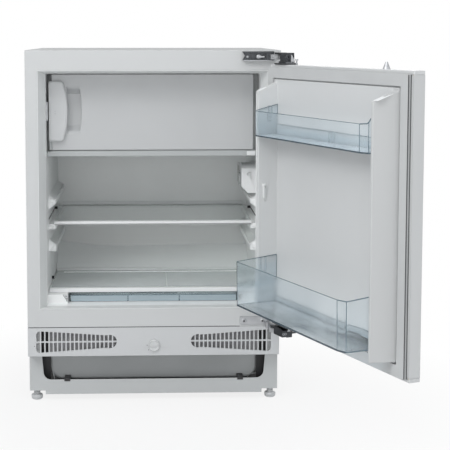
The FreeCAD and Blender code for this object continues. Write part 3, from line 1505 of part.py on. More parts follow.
screws = piece("hinge_screws")
SCREWS = [(TOP_SCREW_X, "(housing_slit - housing_deep)", SCREW_RISE)]
SCREWS += [(across, "(-low_plate_thick)", LOW_SCREW_RISE) for across in LOW_SCREWS]
for across, seat, rise in SCREWS:
    rod(screws, "screw_head", (across, f"{seat} - screw_head_thick", rise), "screw_head_thick", "y")
    rod(screws, "screw_shank", (across, seat, rise), "screw_long", "y")


def hinge_arm(label, plate, web, flange):
    """The door's arm at one end: a plate at the pin, a web and a flange on the door's edge."""
    arm = piece(label, DOOR)
    block(arm, ("-pin_out - arm_near", "arm_far"), ("pin_in - arm_wide_in", "pin_in + arm_wide_out"), plate)
    block(arm, ("web_start", "arm_far"), ("pin_in - arm_wide_in", "pin_in - arm_wide_in + web_wide"), web)
    block(
        arm,
        ("flange_start", "flange_start + flange_long"),
        ("door_return", "door_return + flange_wide"),
        flange,
    )
    rod(
        arm,
        "pin_round",
        ("-pin_out", "pin_in", f"{plate[0]} - overrun"),
        "arm_thick + 2 * overrun",
        cut=True,
    )
    return arm


TOP_ARM = ("(door_high + arm_lift)", "(door_high + arm_lift + arm_thick)")
LOW_ARM = ("(door_low - arm_lift - arm_thick)", "(door_low - arm_lift)")
hinge_arm(
    "top_hinge_arm",
    TOP_ARM,
    ("door_high", f"{TOP_ARM[1]} + web_rise"),
    ("door_high", "door_high + flange_thick"),
)
hinge_arm(
    "bottom_hinge_arm",
    LOW_ARM,
    (f"{LOW_ARM[0]} - web_rise", "door_low"),
    ("door_low - flange_thick", "door_low"),
)
PIN_LONG = "(arm_thick + arm_gap + ear_thick + seat_gap)"
hinge_pins = piece("hinge_pins", DOOR)
rod(hinge_pins, "pin_round", ("-pin_out", "pin_in", TOP_ARM[0]), PIN_LONG)
rod(hinge_pins, "pin_head", ("-pin_out", "pin_in", f"{TOP_ARM[0]} + {PIN_LONG}"), "pin_head_thick")
rod(hinge_pins, "pin_round", ("-pin_out", "pin_in", f"{LOW_ARM[1]} - {PIN_LONG}"), PIN_LONG)
rod(
    hinge_pins,
    "pin_head",
    ("-pin_out", "pin_in", f"{LOW_ARM[1]} - {PIN_LONG} - pin_head_thick"),
    "pin_head_thick",
)

# Checks of the document, then one file for each sub-part
doc.recompute()
bad = [
    item.Label
    for item in doc.Objects
    if {"Invalid", "Error"} & set(item.State)
]
bad += [item.Label for item in PIECES if item.Shape.isNull() or not item.Shape.isValid()]
if bad:
    raise RuntimeError(f"these are not sound: {bad}")
os.makedirs("parts", exist_ok=True)
for item in PIECES:
    item.Shape.exportStep(f"parts/{item.Label}.step")
print(len(PIECES), "sub-parts")
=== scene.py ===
import json
import math

import bmesh
import bpy
from mathutils import Matrix, Vector

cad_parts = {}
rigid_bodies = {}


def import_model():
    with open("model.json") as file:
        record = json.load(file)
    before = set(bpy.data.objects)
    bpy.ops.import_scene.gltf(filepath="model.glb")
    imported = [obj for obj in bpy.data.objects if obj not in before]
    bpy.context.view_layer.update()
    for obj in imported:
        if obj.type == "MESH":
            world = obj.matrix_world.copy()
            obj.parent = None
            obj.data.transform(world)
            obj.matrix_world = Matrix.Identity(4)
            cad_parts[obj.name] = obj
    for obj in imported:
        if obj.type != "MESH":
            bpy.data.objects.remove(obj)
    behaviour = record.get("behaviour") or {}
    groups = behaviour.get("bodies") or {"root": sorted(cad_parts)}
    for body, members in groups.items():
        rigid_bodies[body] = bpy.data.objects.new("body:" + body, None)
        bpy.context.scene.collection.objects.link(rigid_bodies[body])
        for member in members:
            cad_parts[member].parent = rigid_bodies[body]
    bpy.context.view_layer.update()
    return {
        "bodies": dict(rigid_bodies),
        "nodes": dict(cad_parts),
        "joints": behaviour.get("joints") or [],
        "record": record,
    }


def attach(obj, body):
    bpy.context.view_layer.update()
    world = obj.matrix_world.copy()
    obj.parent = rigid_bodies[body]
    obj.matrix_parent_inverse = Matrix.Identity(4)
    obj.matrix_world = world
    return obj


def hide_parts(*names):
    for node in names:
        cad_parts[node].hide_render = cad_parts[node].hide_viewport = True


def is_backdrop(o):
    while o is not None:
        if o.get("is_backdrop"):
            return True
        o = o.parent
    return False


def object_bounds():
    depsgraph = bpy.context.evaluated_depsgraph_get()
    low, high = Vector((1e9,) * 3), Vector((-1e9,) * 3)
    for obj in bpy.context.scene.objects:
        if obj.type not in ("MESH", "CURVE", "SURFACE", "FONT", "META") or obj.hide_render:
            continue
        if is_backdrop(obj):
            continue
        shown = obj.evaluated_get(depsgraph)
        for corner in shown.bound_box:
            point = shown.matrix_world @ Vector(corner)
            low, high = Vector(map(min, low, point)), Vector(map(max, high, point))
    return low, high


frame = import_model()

NODES = frame["nodes"]
MM = 0.001

# Camera, in front of the fridge, a little to its left and above its top; metres and radians
CAMERA_PLACE = (-0.0191, -2.8587, 0.8765)
CAMERA_DOWN = 0.0927
CAMERA_RIGHT = 0.0358
camera_data = bpy.data.cameras.new("camera")
camera_data.lens = 98.17
camera_data.sensor_width = 36
camera_data.shift_x = 0.08
camera_data.shift_y = -0.17
camera_data.clip_start = 0.1
camera_data.clip_end = 50
camera = bpy.data.objects.new("camera", camera_data)
camera.location = CAMERA_PLACE
camera.rotation_euler = (math.pi / 2 - CAMERA_DOWN, 0, -CAMERA_RIGHT)
bpy.context.scene.collection.objects.link(camera)
bpy.context.scene.camera = camera

# Materials
EDGE_POINTINESS = (0.52, 0.6)
EDGE_TONE = 1.6
GLOSS_SCALE = 9
CLEAR_GLOSS_SCALE = 40
CLEAR_GLOSS_SPREAD = (0.6, 1.6)


class Nodes:
    """One material's node tree, with short calls to add and link nodes."""

    def __init__(self, name):
        self.material = bpy.data.materials.new(name)
        self.material.use_nodes = True
        self.tree = self.material.node_tree
        self.shader = self.tree.nodes["Principled BSDF"]
        self.place = self.add("ShaderNodeTexCoord").outputs["Object"]

    def add(self, kind, **settings):
        node = self.tree.nodes.new(kind)
        for key, value in settings.items():
            setattr(node, key, value)
        return node

    def link(self, source, target):
        self.tree.links.new(source, target)

    def noise(self, scale, detail=2, stretch=None):
        node = self.add("ShaderNodeTexNoise")
        node.inputs["Scale"].default_value = scale
        node.inputs["Detail"].default_value = detail
        place = self.place
        if stretch:
            mapping = self.add("ShaderNodeMapping")
            mapping.inputs["Scale"].default_value = stretch
            self.link(place, mapping.inputs["Vector"])
            place = mapping.outputs["Vector"]
        self.link(place, node.inputs["Vector"])
        return node.outputs["Fac"]

    def spread(self, value, low, high, start=0.3, end=0.7):
        node = self.add("ShaderNodeMapRange")
        for key, number in (("From Min", start), ("From Max", end), ("To Min", low), ("To Max", high)):
            node.inputs[key].default_value = number
        self.link(value, node.inputs["Value"])
        return node.outputs["Result"]

    def mix(self, factor, first, second):
        node = self.add("ShaderNodeMix", data_type="RGBA")
        for socket, value in ((node.inputs[6], first), (node.inputs[7], second)):
            if isinstance(value, tuple):
                socket.default_value = value
            else:
                self.link(value, socket)
        self.link(factor, node.inputs["Factor"])
        return node.outputs[2]

    def bump(self, height, distance):
        node = self.add("ShaderNodeBump")
        node.inputs["Distance"].default_value = distance
        self.link(height, node.inputs["Height"])
        return node.outputs["Normal"]

    def blend(self, factor, first, second):
        """Mixes two shaders into the surface."""
        node = self.add("ShaderNodeMixShader")
        for source, socket in zip((factor, first, second), node.inputs):
            self.link(source, socket)
        self.link(node.outputs[0], self.tree.nodes["Material Output"].inputs["Surface"])

    def set(self, **values):
        for key, value in values.items():
            socket = self.shader.inputs[key.replace("_", " ")]
            if hasattr(value, "is_output"):
                self.link(value, socket)
            else:
                socket.default_value = value
        return self.material


def shade(colour, factor):
    return tuple(min(1.0, c * factor) for c in colour) + (1.0,)


def finish(
    name, colour, rough, vary, cloud, grain, bump, rough_vary=0.06, stretch=None, worn=0.0, fade=None, **more
):
    """A solid finish: clouds of colour, uneven gloss, a fine surface grain, on metal bright edges, and where
    asked painted shade over part of it.
    """
    n = Nodes(name)
    clouds = n.spread(n.noise(cloud, 4), 0, 1)
    tone = n.mix(clouds, shade(colour, 1 - vary), shade(colour, 1 + vary))
    # Painted shade: the tone darkens past a plane in the object's own space
    if fade:
        across, start, end, share = fade
        along = n.add("ShaderNodeVectorMath", operation="DOT_PRODUCT")
        n.link(n.place, along.inputs[0])
        along.inputs[1].default_value = across
        tone = n.mix(n.spread(along.outputs["Value"], 0, 1, start, end), tone, shade(colour, share))
    if worn:
        edge = n.spread(n.add("ShaderNodeNewGeometry").outputs["Pointiness"], 0, worn, *EDGE_POINTINESS)
        tone = n.mix(edge, tone, shade(colour, EDGE_TONE))
    gloss = n.spread(n.noise(cloud * GLOSS_SCALE, 5, stretch), rough - rough_vary, rough + rough_vary)
    wave = n.bump(n.noise(grain, 2, stretch), bump)
    return n.set(Base_Color=tone, Roughness=gloss, Normal=wave, **more)


def clear(name, colour, rough, ior, grain, bump, absorb, density, shadow, through=1.0):
    """A clear moulded or glass piece, tinted through its thickness, whose shadow lets light through."""
    n = Nodes(name)
    dull, duller = CLEAR_GLOSS_SPREAD
    gloss = n.spread(n.noise(CLEAR_GLOSS_SCALE, 4), rough * dull, rough * duller)
    wave = n.bump(n.noise(grain, 2), bump)
    n.set(Base_Color=colour, Roughness=gloss, Normal=wave, IOR=ior, Transmission_Weight=through)
    tint = n.add("ShaderNodeVolumeAbsorption")
    tint.inputs["Color"].default_value = absorb
    tint.inputs["Density"].default_value = density
    n.link(tint.outputs[0], n.tree.nodes["Material Output"].inputs["Volume"])
    open_to_light = n.add("ShaderNodeBsdfTransparent")
    open_to_light.inputs["Color"].default_value = shadow
    shadow_ray = n.add("ShaderNodeLightPath").outputs["Is Shadow Ray"]
    n.blend(shadow_ray, n.shader.outputs[0], open_to_light.outputs[0])
    return n.material


# Surfaces that several finishes share
SHEET = {"rough": 0.45, "vary": 0.012, "cloud": 2.2, "grain": 620, "bump": 0.00002, "rough_vary": 0.05}
LINER = {"rough": 0.42, "vary": 0.015, "cloud": 3.1, "grain": 240, "bump": 0.00003}
MOULDED = {"rough": 0.36, "vary": 0.015, "cloud": 5, "grain": 1100, "bump": 0.00003}
TINTED = {"rough": 0.25, "vary": 0.05, "cloud": 20, "grain": 600, "bump": 0.00003, "rough_vary": 0.05}
SURFACE_KEYS = ("rough", "vary", "cloud", "grain", "bump", "rough_vary")


def surface(*values, **more):
    """A surface of its own: gloss, variation, cloud scale, grain scale, grain height and gloss variation."""
    return dict(zip(SURFACE_KEYS, values)) | more


SOLID = {
    "white_steel": ((0.60, 0.61, 0.61), SHEET),
    "liner_plastic": ((0.9, 0.91, 0.905), LINER),
    "foam": ((0.72, 0.63, 0.40), surface(0.9, 0.12, 30, 900, 0.0003, 0.05)),
    "white_plastic": ((0.64, 0.65, 0.65), MOULDED),
    "gasket_rubber": ((0.56, 0.57, 0.57), surface(0.62, 0.03, 12, 700, 0.00006, 0.05)),
    "galvanised": ((0.36, 0.37, 0.385), surface(0.42, 0.16, 55, 400, 0.00004, 0.1, worn=0.5, Metallic=1.0)),
    "dark_steel": ((0.055, 0.058, 0.063), surface(0.38, 0.35, 40, 500, 0.00005, 0.1, worn=0.5, Metallic=0.9)),
    "evaporator_aluminium": (
        (0.62, 0.64, 0.65),
        surface(0.42, 0.05, 14, 300, 0.00005, 0.08, stretch=(1, 8, 1), Metallic=0.75),
    ),
    "grey_plastic": ((0.42, 0.435, 0.435), surface(0.46, 0.05, 9, 700, 0.00006, 0.06)),
    "black_plastic": ((0.018, 0.018, 0.02), surface(0.5, 0.15, 20, 800, 0.00006, 0.08)),
    "black_steel": ((0.02, 0.02, 0.022), surface(0.35, 0.2, 15, 300, 0.00005, 0.08, Coat_Weight=0.3)),
    "black_rubber": ((0.025, 0.025, 0.025), surface(0.75, 0.15, 30, 600, 0.0001, 0.08)),
    "copper": ((0.62, 0.28, 0.15), surface(0.3, 0.2, 25, 300, 0.00004, 0.1, Metallic=1.0)),
}

# Clear finishes, in the order of the keys; the last is the share of light that passes, 1 where it isn't given
CLEAR_KEYS = ("colour", "rough", "ior", "grain", "bump", "absorb", "density", "shadow", "through")
GREENISH = (0.7, 0.95, 0.88, 1)
GLASS_SHADOW = (0.92, 0.95, 0.94, 1)
CLEAR = {
    "clear_glass": ((0.96, 0.985, 0.98, 1), 0.02, 1.45, 200, 0.00001, GREENISH, 3, GLASS_SHADOW),
    "cover_glass": ((0.90, 0.93, 0.93, 1), 0.12, 1.45, 200, 0.00001, GREENISH, 3, GLASS_SHADOW, 0.55),
    "blue_clear_plastic": (
        (0.93, 0.965, 0.985, 1), 0.08, 1.44, 260, 0.00003, (0.38, 0.59, 0.72, 1), 16, (0.86, 0.89, 0.91, 1)
    ),
    "lens_plastic": (
        (0.95, 0.95, 0.93, 1), 0.35, 1.45, 400, 0.0001, (0.9, 0.9, 0.8, 1), 20, (0.9, 0.9, 0.88, 1)
    ),
    "bulb_glass": (
        (0.97, 0.97, 0.95, 1), 0.1, 1.45, 100, 0.00001, (0.95, 0.95, 0.9, 1), 5, (0.95, 0.95, 0.93, 1)
    ),
}

# Painted shade over part of a finish: a direction, the metres along it where the darker tone starts and is
# full, and that tone's share
PAINTED_SHADE_BELOW_SHELF = ((0, 10, -1), 3.97, 4.0, 0.76)
PAINTED_SHADE_ON_FAR_RIB = ((0.3746, -0.9272, 0), 0.662, 0.667, 0.83)

# Lighter and darker variants of a slot's finish, as the photograph shows them: slot, colour, surface
VARIANTS = {
    # Painted shade on the rear wall below the shelf
    "cabinet_plastic": ("liner_plastic", (0.9, 0.91, 0.905), LINER | {"fade": PAINTED_SHADE_BELOW_SHELF}),
    # A darker copy of the liner plastic: painted shade over the door's liner, and more painted shade on its far
    # rib
    "door_painted_shade": ("liner_plastic", (0.675, 0.685, 0.685), LINER | {"fade": PAINTED_SHADE_ON_FAR_RIB}),
    "collar_plastic": ("liner_plastic", (0.73, 0.745, 0.74), LINER),
    # A lighter copy of the liner plastic: painted light on the raised back and the floor's front strip, painted
    # highlights on the door's rib edges
    "bright_plastic": ("liner_plastic", (0.93, 0.945, 0.945), MOULDED | {"rough": 0.34, "vary": 0.012}),
    # A darker copy of the white plastic: painted shade on the recessed flap and its grip
    "flap_painted_shade": ("white_plastic", (0.50, 0.51, 0.515), MOULDED),
    "flap_trim": ("white_plastic", (0.56, 0.57, 0.575), MOULDED | {"rough": 0.34}),
    "inner_plastic": ("white_plastic", (0.82, 0.83, 0.83), MOULDED),
    "sill_plastic": ("white_plastic", (0.43, 0.45, 0.45), MOULDED),
    # Painted shade for the lower part of the shelf's front trim
    "shelf_painted_shade_grey": ("white_plastic", (0.33, 0.34, 0.34), MOULDED | {"rough": 0.4}),
    "grille_plastic": ("white_plastic", (0.60, 0.61, 0.615), MOULDED | {"rough": 0.38}),
    # A darker copy of the white steel: painted shade on the top and sides, and on the back's beads
    "wrap_painted_shade": ("white_steel", (0.435, 0.445, 0.445), SHEET),
    "plinth_steel": ("white_steel", (0.54, 0.555, 0.555), SHEET),
    "strip_grey": ("grey_plastic", (0.085, 0.09, 0.092), surface(0.5, 0.06, 12, 700, 0.00004, 0.05)),
    "gasket_root": ("gasket_rubber", (0.12, 0.12, 0.125), TINTED | {"rough": 0.7}),
    "bin_keel": ("blue_clear_plastic", (0.045, 0.07, 0.09), TINTED),
    # A pale copy of the bin plastic: painted light on the upper bin's floor
    "bin_floor": ("blue_clear_plastic", (0.62, 0.67, 0.71), TINTED | {"rough": 0.3, "vary": 0.03}),
    "bin_edge": ("blue_clear_plastic", (0.13, 0.19, 0.225), TINTED),
    "drawer_panel": (
        "blue_clear_plastic",
        (0.365, 0.445, 0.485),
        surface(0.2, 0.03, 6, 500, 0.00003, 0.05, Coat_Weight=0.4),
    ),
    "dull_zinc": ("galvanised", (0.30, 0.30, 0.31), surface(0.55, 0.12, 40, 400, 0.00004, 0.1, Metallic=0.3)),
}
SLOTS = {name: finish(name, colour, **look) for name, (colour, look) in SOLID.items()}
SLOTS |= {name: clear(name, **dict(zip(CLEAR_KEYS, values))) for name, values in CLEAR.items()}
SLOTS |= {name: finish(name, colour, **look) for name, (_, colour, look) in VARIANTS.items()}


def wear(obj, material):
    obj.data.materials.clear()
    obj.data.materials.append(material)
    return obj


def round_off(obj, width, segments, angle):
    bevel = obj.modifiers.new("bevel", "BEVEL")
    bevel.width = width
    bevel.segments = segments
    bevel.limit_method = "ANGLE"
    bevel.angle_limit = math.radians(angle)
    bevel.harden_normals = True
    bevel.use_clamp_overlap = False


WELD_GAP = 0.00001
CARRIED_ANGLE = 35


def soften(node, width, segments):
    """Rounds a carried-over node's sharp edges."""
    weld = NODES[node].modifiers.new("weld", "WELD")
    weld.merge_threshold = WELD_GAP
    round_off(NODES[node], width, segments, CARRIED_ANGLE)


for row in frame["record"]["subparts"]:
    wear(NODES[row["node"]], SLOTS[row["material_slot"]])
for node, variant in (
    ("crisper_cover_glass", "cover_glass"),
    ("air_baffle", "dull_zinc"),
    ("icebox_floor", "sill_plastic"),
    ("cabinet_liner", "cabinet_plastic"),
    ("base_frame", "plinth_steel"),
    ("opening_collar", "collar_plastic"),
    ("outer_wrap", "wrap_painted_shade"),
    ("thermostat_knob", "grey_plastic"),
    ("grille_panel", "grille_plastic"),
    ("door_liner", "door_painted_shade"),
    ("icebox_flap", "flap_painted_shade"),
    ("lamp_housing", "inner_plastic"),
    ("shelf_trims", "inner_plastic"),
    ("crisper_cover_trims", "inner_plastic"),
):
    wear(NODES[node], SLOTS[variant])
for node, width, segments in (
    ("outer_wrap", 0.48, 2),
    ("opening_collar", 0.6, 2),
    ("cabinet_liner", 0.8, 2),
    ("icebox_floor", 2.0, 2),
    ("evaporator", 1.0, 1),
    ("lamp_housing", 1.8, 3),
    ("crisper_cover_trims", 0.8, 2),
    ("shelf_trims", 0.8, 2),
    ("grille_panel", 0.4, 1),
    ("base_frame", 1.0, 2),
    ("underbody_shroud", 6.0, 3),
    ("door_outer_skin", 0.8, 2),
    ("door_top_cap", 1.5, 2),
    ("door_bottom_cap", 1.5, 2),
    ("door_liner", 2.3, 3),
    ("icebox_flap", 1.5, 2),
    ("thermostat_knob", 0.8, 2),
    ("compressor_mounts", 1.0, 2),
    ("evaporating_tray", 1.0, 2),
    ("mains_inlet", 0.8, 2),
    ("bottom_hinge_arm", 0.6, 2),
):
    soften(node, width * MM, segments)

# Stage: background, floor and lamps
WHITE = (1, 1, 1, 1)
BACKGROUNDS = (((0.93, 0.96, 1.0, 1), 0.5), (WHITE, 1.0))
FLOOR_CORNERS = [(-12, -8, 0), (12, -8, 0), (12, 14, 0), (-12, 14, 0)]
FLOOR_COLOUR = (0.8, 0.8, 0.8, 1)
FLOOR_ROUGH = 0.9
FLOOR_WHITE_SHARE = (0.83, 1.0)
FLOOR_WHITE_REACH = (0.35, 0.9)


def seen_straight(tree):
    """1 for a ray from the camera, also one through glass or by reflection, and 0 for light on a surface."""
    path = tree.nodes.new("ShaderNodeLightPath")
    value = path.outputs["Is Camera Ray"]
    for ray in ("Is Glossy Ray", "Is Transmission Ray"):
        either = tree.nodes.new("ShaderNodeMath")
        either.operation = "MAXIMUM"
        tree.links.new(value, either.inputs[0])
        tree.links.new(path.outputs[ray], either.inputs[1])
        value = either.outputs[0]
    return value


world = bpy.data.worlds.new("studio")
bpy.context.scene.world = world
world.use_nodes = True
sky = world.node_tree
sky.nodes.remove(sky.nodes["Background"])
choose = sky.nodes.new("ShaderNodeMixShader")
sky.links.new(seen_straight(sky), choose.inputs[0])
for (colour, strength), socket in zip(BACKGROUNDS, choose.inputs[1:]):
    background = sky.nodes.new("ShaderNodeBackground")
    background.inputs["Color"].default_value = colour
    background.inputs["Strength"].default_value = strength
    sky.links.new(background.outputs[0], socket)
sky.links.new(choose.outputs[0], sky.nodes["World Output"].inputs["Surface"])

floor_mesh = bpy.data.meshes.new("floor")
floor_mesh.from_pydata(FLOOR_CORNERS, [], [(0, 1, 2, 3)])
floor = bpy.data.objects.new("floor", floor_mesh)
bpy.context.scene.collection.objects.link(floor)
floor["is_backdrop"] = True
plain = Nodes("floor")
plain.set(Base_Color=FLOOR_COLOUR, Roughness=FLOOR_ROUGH)
white = plain.add("ShaderNodeEmission")
white.inputs["Color"].default_value = WHITE
white.inputs["Strength"].default_value = 1.0
away = plain.add("ShaderNodeVectorMath", operation="LENGTH")
plain.link(plain.place, away.inputs[0])
share = plain.add("ShaderNodeMath", operation="MULTIPLY")
plain.link(seen_straight(plain.tree), share.inputs[0])
plain.link(plain.spread(away.outputs["Value"], *FLOOR_WHITE_SHARE, *FLOOR_WHITE_REACH), share.inputs[1])
plain.blend(share.outputs[0], plain.shader.outputs[0], white.outputs[0])
wear(floor, plain.material)

for name, place, aim, size, watts in (
    ("key_lamp", (-1.7, -2.2, 2.7), (0, 0.1, 0.4), (1.8, 1.4), 38),
    ("fill_lamp", (2.2, -2.2, 1.7), (0, 0.1, 0.4), (1.6, 1.6), 8),
    ("top_lamp", (0.1, -1.5, 2.8), (0, 0.1, 0.3), (2.0, 1.2), 14),
    ("front_lamp", (-0.2, -3.2, 0.7), (0, 0.2, 0.4), (1.6, 1.2), 10),
    ("rear_lamp", (1.7, 3.2, 0.8), (0, 0.4, 0.4), (2.0, 1.4), 20),
):
    data = bpy.data.lights.new(name, "AREA")
    data.shape = "RECTANGLE"
    data.size, data.size_y = size
    data.energy = watts
    lamp = bpy.data.objects.new(name, data)
    lamp.location = place
    lamp.rotation_euler = (Vector(aim) - Vector(place)).to_track_quat("-Z", "Y").to_euler()
    bpy.context.scene.collection.objects.link(lamp)
bpy.context.scene.view_settings.view_transform = "Standard"

# Frames; from here on lengths are in millimetres, until a piece is made
OPEN = math.radians(112)
PIN_X, PIN_Y = 291, -36
PIN_U, PIN_V = 11, 36
DOOR_U = Vector((-math.cos(OPEN), -math.sin(OPEN), 0))
DOOR_V = Vector((math.sin(OPEN), -math.cos(OPEN), 0))
DOOR_EDGE = Vector((PIN_X, PIN_Y, 0)) + PIN_U * DOOR_U - PIN_V * DOOR_V
DOOR = Matrix(
    (
        (DOOR_U.x, DOOR_V.x, 0, DOOR_EDGE.x),
        (DOOR_U.y, DOOR_V.y, 0, DOOR_EDGE.y),
        (0, 0, 1, 0),
        (0, 0, 0, 1),
    )
)
HERE = Matrix.Identity(4)

# Frames of outlines: in Y and Z and drawn to the right, in X and Z and drawn inward, and on the back
LENGTHWISE = Matrix(((0, 0, 1, 0), (1, 0, 0, 0), (0, 1, 0, 0), (0, 0, 0, 1)))
INWARD = Matrix(((1, 0, 0, 0), (0, 0, 1, 0), (0, 1, 0, 0), (0, 0, 0, 1)))
BACK = Matrix(((-1, 0, 0, 0), (0, 0, 1, 504), (0, 1, 0, 0), (0, 0, 0, 1)))


def facing(x, y, z):
    """A frame at a point, with its own Z towards the front, its X to the right and its Y up."""
    return Matrix.Translation((x, y, z)) @ Matrix.Rotation(math.pi / 2, 4, "X")


FRONT = facing(0, 0, 0)
HANDS = (("left", -1), ("right", 1))
MERGE_GAP = 0.001
NEARLY_TWO = 2.01


class Shape:
    """Collects faces for one piece."""

    def __init__(self):
        self.mesh = bmesh.new()

    def prism(self, outline, low, high, frame=HERE):
        """A closed outline in the frame's XY plane, drawn up from low to high."""
        rings = [[self.mesh.verts.new(frame @ Vector((x, y, z))) for x, y in outline] for z in (low, high)]
        count = len(outline)
        self.mesh.faces.new(list(reversed(rings[0])))
        self.mesh.faces.new(rings[1])
        for n in range(count):
            after = (n + 1) % count
            self.mesh.faces.new((rings[0][n], rings[0][after], rings[1][after], rings[1][n]))
        return self

    def layers(self, frame, *rows):
        """Several outlines in one frame, each with its own low and high."""
        for outline, low, high in rows:
            self.prism(outline, low, high, frame)
        return self

    def box(self, low, high):
        (x0, y0, z0), (x1, y1, z1) = low, high
        return self.prism(flat(x0, x1, y0, y1), z0, z1)

    def rows(self, rows, ends=True):
        """Skin over closed rows of points, each row as long as the next."""
        made = [[self.mesh.verts.new(point) for point in row] for row in rows]
        count = len(made[0])
        for near, far in zip(made, made[1:]):
            for n in range(count):
                after = (n + 1) % count
                self.mesh.faces.new((near[n], near[after], far[after], far[n]))
        if ends:
            self.mesh.faces.new(list(reversed(made[0])))
            self.mesh.faces.new(made[-1])
        return self

    def turned(self, profile, frame, steps, lobes=0, wave=0.0):
        """A profile of (radius, height) turned round the frame's Z, with lobes where it is fluted."""
        rows = []
        for edge, height in profile:
            row = []
            for n in range(steps):
                turn = math.tau * n / steps
                radius = edge * (1 + wave * math.cos(lobes * turn))
                row.append(frame @ Vector((radius * math.cos(turn), radius * math.sin(turn), height)))
            rows.append(row)
        return self.rows(rows)

    def tube(self, points, radius, steps=6):
        """A round bar along a path."""
        path = [Vector(point) for point in points]
        rows = []
        side = None
        for n, place in enumerate(path):
            ahead = (path[min(n + 1, len(path) - 1)] - path[max(n - 1, 0)]).normalized()
            if side is None:
                side = ahead.orthogonal().normalized()
            side = (side - side.dot(ahead) * ahead).normalized()
            over = ahead.cross(side)
            row = []
            for k in range(steps):
                turn = math.tau * k / steps
                row.append(place + radius * (math.cos(turn) * side + math.sin(turn) * over))
            rows.append(row)
        return self.rows(rows)

    def piece(self, name, slot, body, replaced=(), frame=HERE, bevel=0.0, segments=2, smooth=40):
        """Ends the shape: a named piece with its finish, riding on a body."""
        bmesh.ops.remove_doubles(self.mesh, verts=self.mesh.verts, dist=MERGE_GAP)
        bmesh.ops.recalc_face_normals(self.mesh, faces=self.mesh.faces)
        self.mesh.transform(Matrix.Scale(MM, 4) @ frame)
        data = bpy.data.meshes.new(name)
        self.mesh.to_mesh(data)
        self.mesh.free()
        data.shade_smooth()
        data.set_sharp_from_angle(angle=math.radians(smooth))
        made = bpy.data.objects.new(name, data)
        bpy.context.scene.collection.objects.link(made)
        wear(made, SLOTS[slot])
        if bevel:
            round_off(made, bevel * MM, segments, smooth)
        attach(made, body)
        if replaced:
            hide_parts(*replaced)


def arced(points, radii, steps=5):
    """A closed outline whose corners are rounded by one radius or by one for each corner."""
    out = []
    count = len(points)
    for n in range(count):
        radius = radii[n] if isinstance(radii, list) else radii
        here = Vector(points[n])
        back = Vector(points[n - 1]) - here
        ahead = Vector(points[(n + 1) % count]) - here
        if not radius:
            out.append(tuple(here))
            continue
        half = math.acos(max(-1, min(1, back.normalized().dot(ahead.normalized())))) / 2
        reach = min(radius / math.tan(half), back.length / NEARLY_TWO, ahead.length / NEARLY_TWO)
        start = here + back.normalized() * reach
        end = here + ahead.normalized() * reach
        for k in range(steps + 1):
            t = k / steps
            out.append(tuple((1 - t) ** 2 * start + 2 * t * (1 - t) * here + t * t * end))
    return out


def flat(x0, x1, y0, y1):
    """A rectangle."""
    return [(x0, y0), (x1, y0), (x1, y1), (x0, y1)]


def slab(x0, x1, y0, y1, radius, steps=5):
    """A rectangle with rounded corners."""
    return arced(flat(x0, x1, y0, y1), radius, steps)


def inset(outline, by):
    """The outline's points moved in by a distance."""
    count = len(outline)
    middle = sum((Vector(point) for point in outline), Vector((0, 0))) / count
    moved = []
    for n, point in enumerate(outline):
        here = Vector(point)
        along = (Vector(outline[(n + 1) % count]) - Vector(outline[n - 1])).normalized()
        out = Vector((along.y, -along.x))
        if out.dot(here - middle) < 0:
            out = -out
        moved.append(here - out * by)
    return moved


# Door bins: a plan, a wall whose height changes round it, a floor that turns up, painted shade along the edges
BIN_NEAR, BIN_FAR, BIN_BACK = 46.2, 507.2, 0.4
BIN_BEVEL, BIN_DEEP = 22, 7
BIN_RADII = [0, 6, 9, 6, 0]
BIN_STEPS = 6
BACK_PARTS = 6
BACK_STEP = 0.8
WALL, TURN = 2.2, 3.4
LEAN = (0, 0.5, 1.0, math.pi / 2)
UP = (0.25, 0.5, 0.75, 1)
EDGE_RADIUS, RIM_RADIUS, CORNER_RADIUS = 0.7, 1.2, 0.75
RIM_SIDES, RIM_OVER, EDGE_OVER = (0.15, 0.85), 0.5, 0.35
RISE_FROM = 0.94
KEEL_INSET, KEEL_Z, KEEL_UPRIGHT = 1.1, 0.9, 0.7
BASE_INSET, BASE_Z = 0.8, 1.2
PLAN_CORNERS = [0, 4, 11, 18]
BEAD = ((0.1, 2.2), (0.4, -0.5), (2.6, -0.5), (2.6, 0.2))
MAT_LEVELS = (2.3, 2.7)


def bin_plan(out):
    """The bin's plan in the door's frame: back corners, the near end, the front and the far end."""
    corners = [
        (BIN_NEAR, BIN_BACK),
        (BIN_NEAR, -out),
        (BIN_FAR - BIN_BEVEL, -out),
        (BIN_FAR, BIN_DEEP - out),
        (BIN_FAR, BIN_BACK),
    ]
    return arced(corners, BIN_RADII, BIN_STEPS)


def bin_heights(plan, high, rise, out, spread):
    """Front rim, and sides that rise towards the door in an S."""
    heights = []
    for _, v in plan:
        rising = max(0.0, min(1.0, (v + out * RISE_FROM) / (out * spread)))
        heights.append(high + rise * rising * rising * (3 - 2 * rising))
    heights[0] = heights[-1] = high + rise
    return heights


def split_back(plan, heights, lip):
    """Adds the low back between the two ends."""
    (u0, v0), (u1, v1) = plan[0], plan[-1]
    between = [(u1 + (u0 - u1) * k / BACK_PARTS, v1) for k in range(1, BACK_PARTS)]
    low = [(u1 - BACK_STEP, v1)] + between + [(u0 + BACK_STEP, v0)]
    return plan + low, heights + [lip] * len(low)


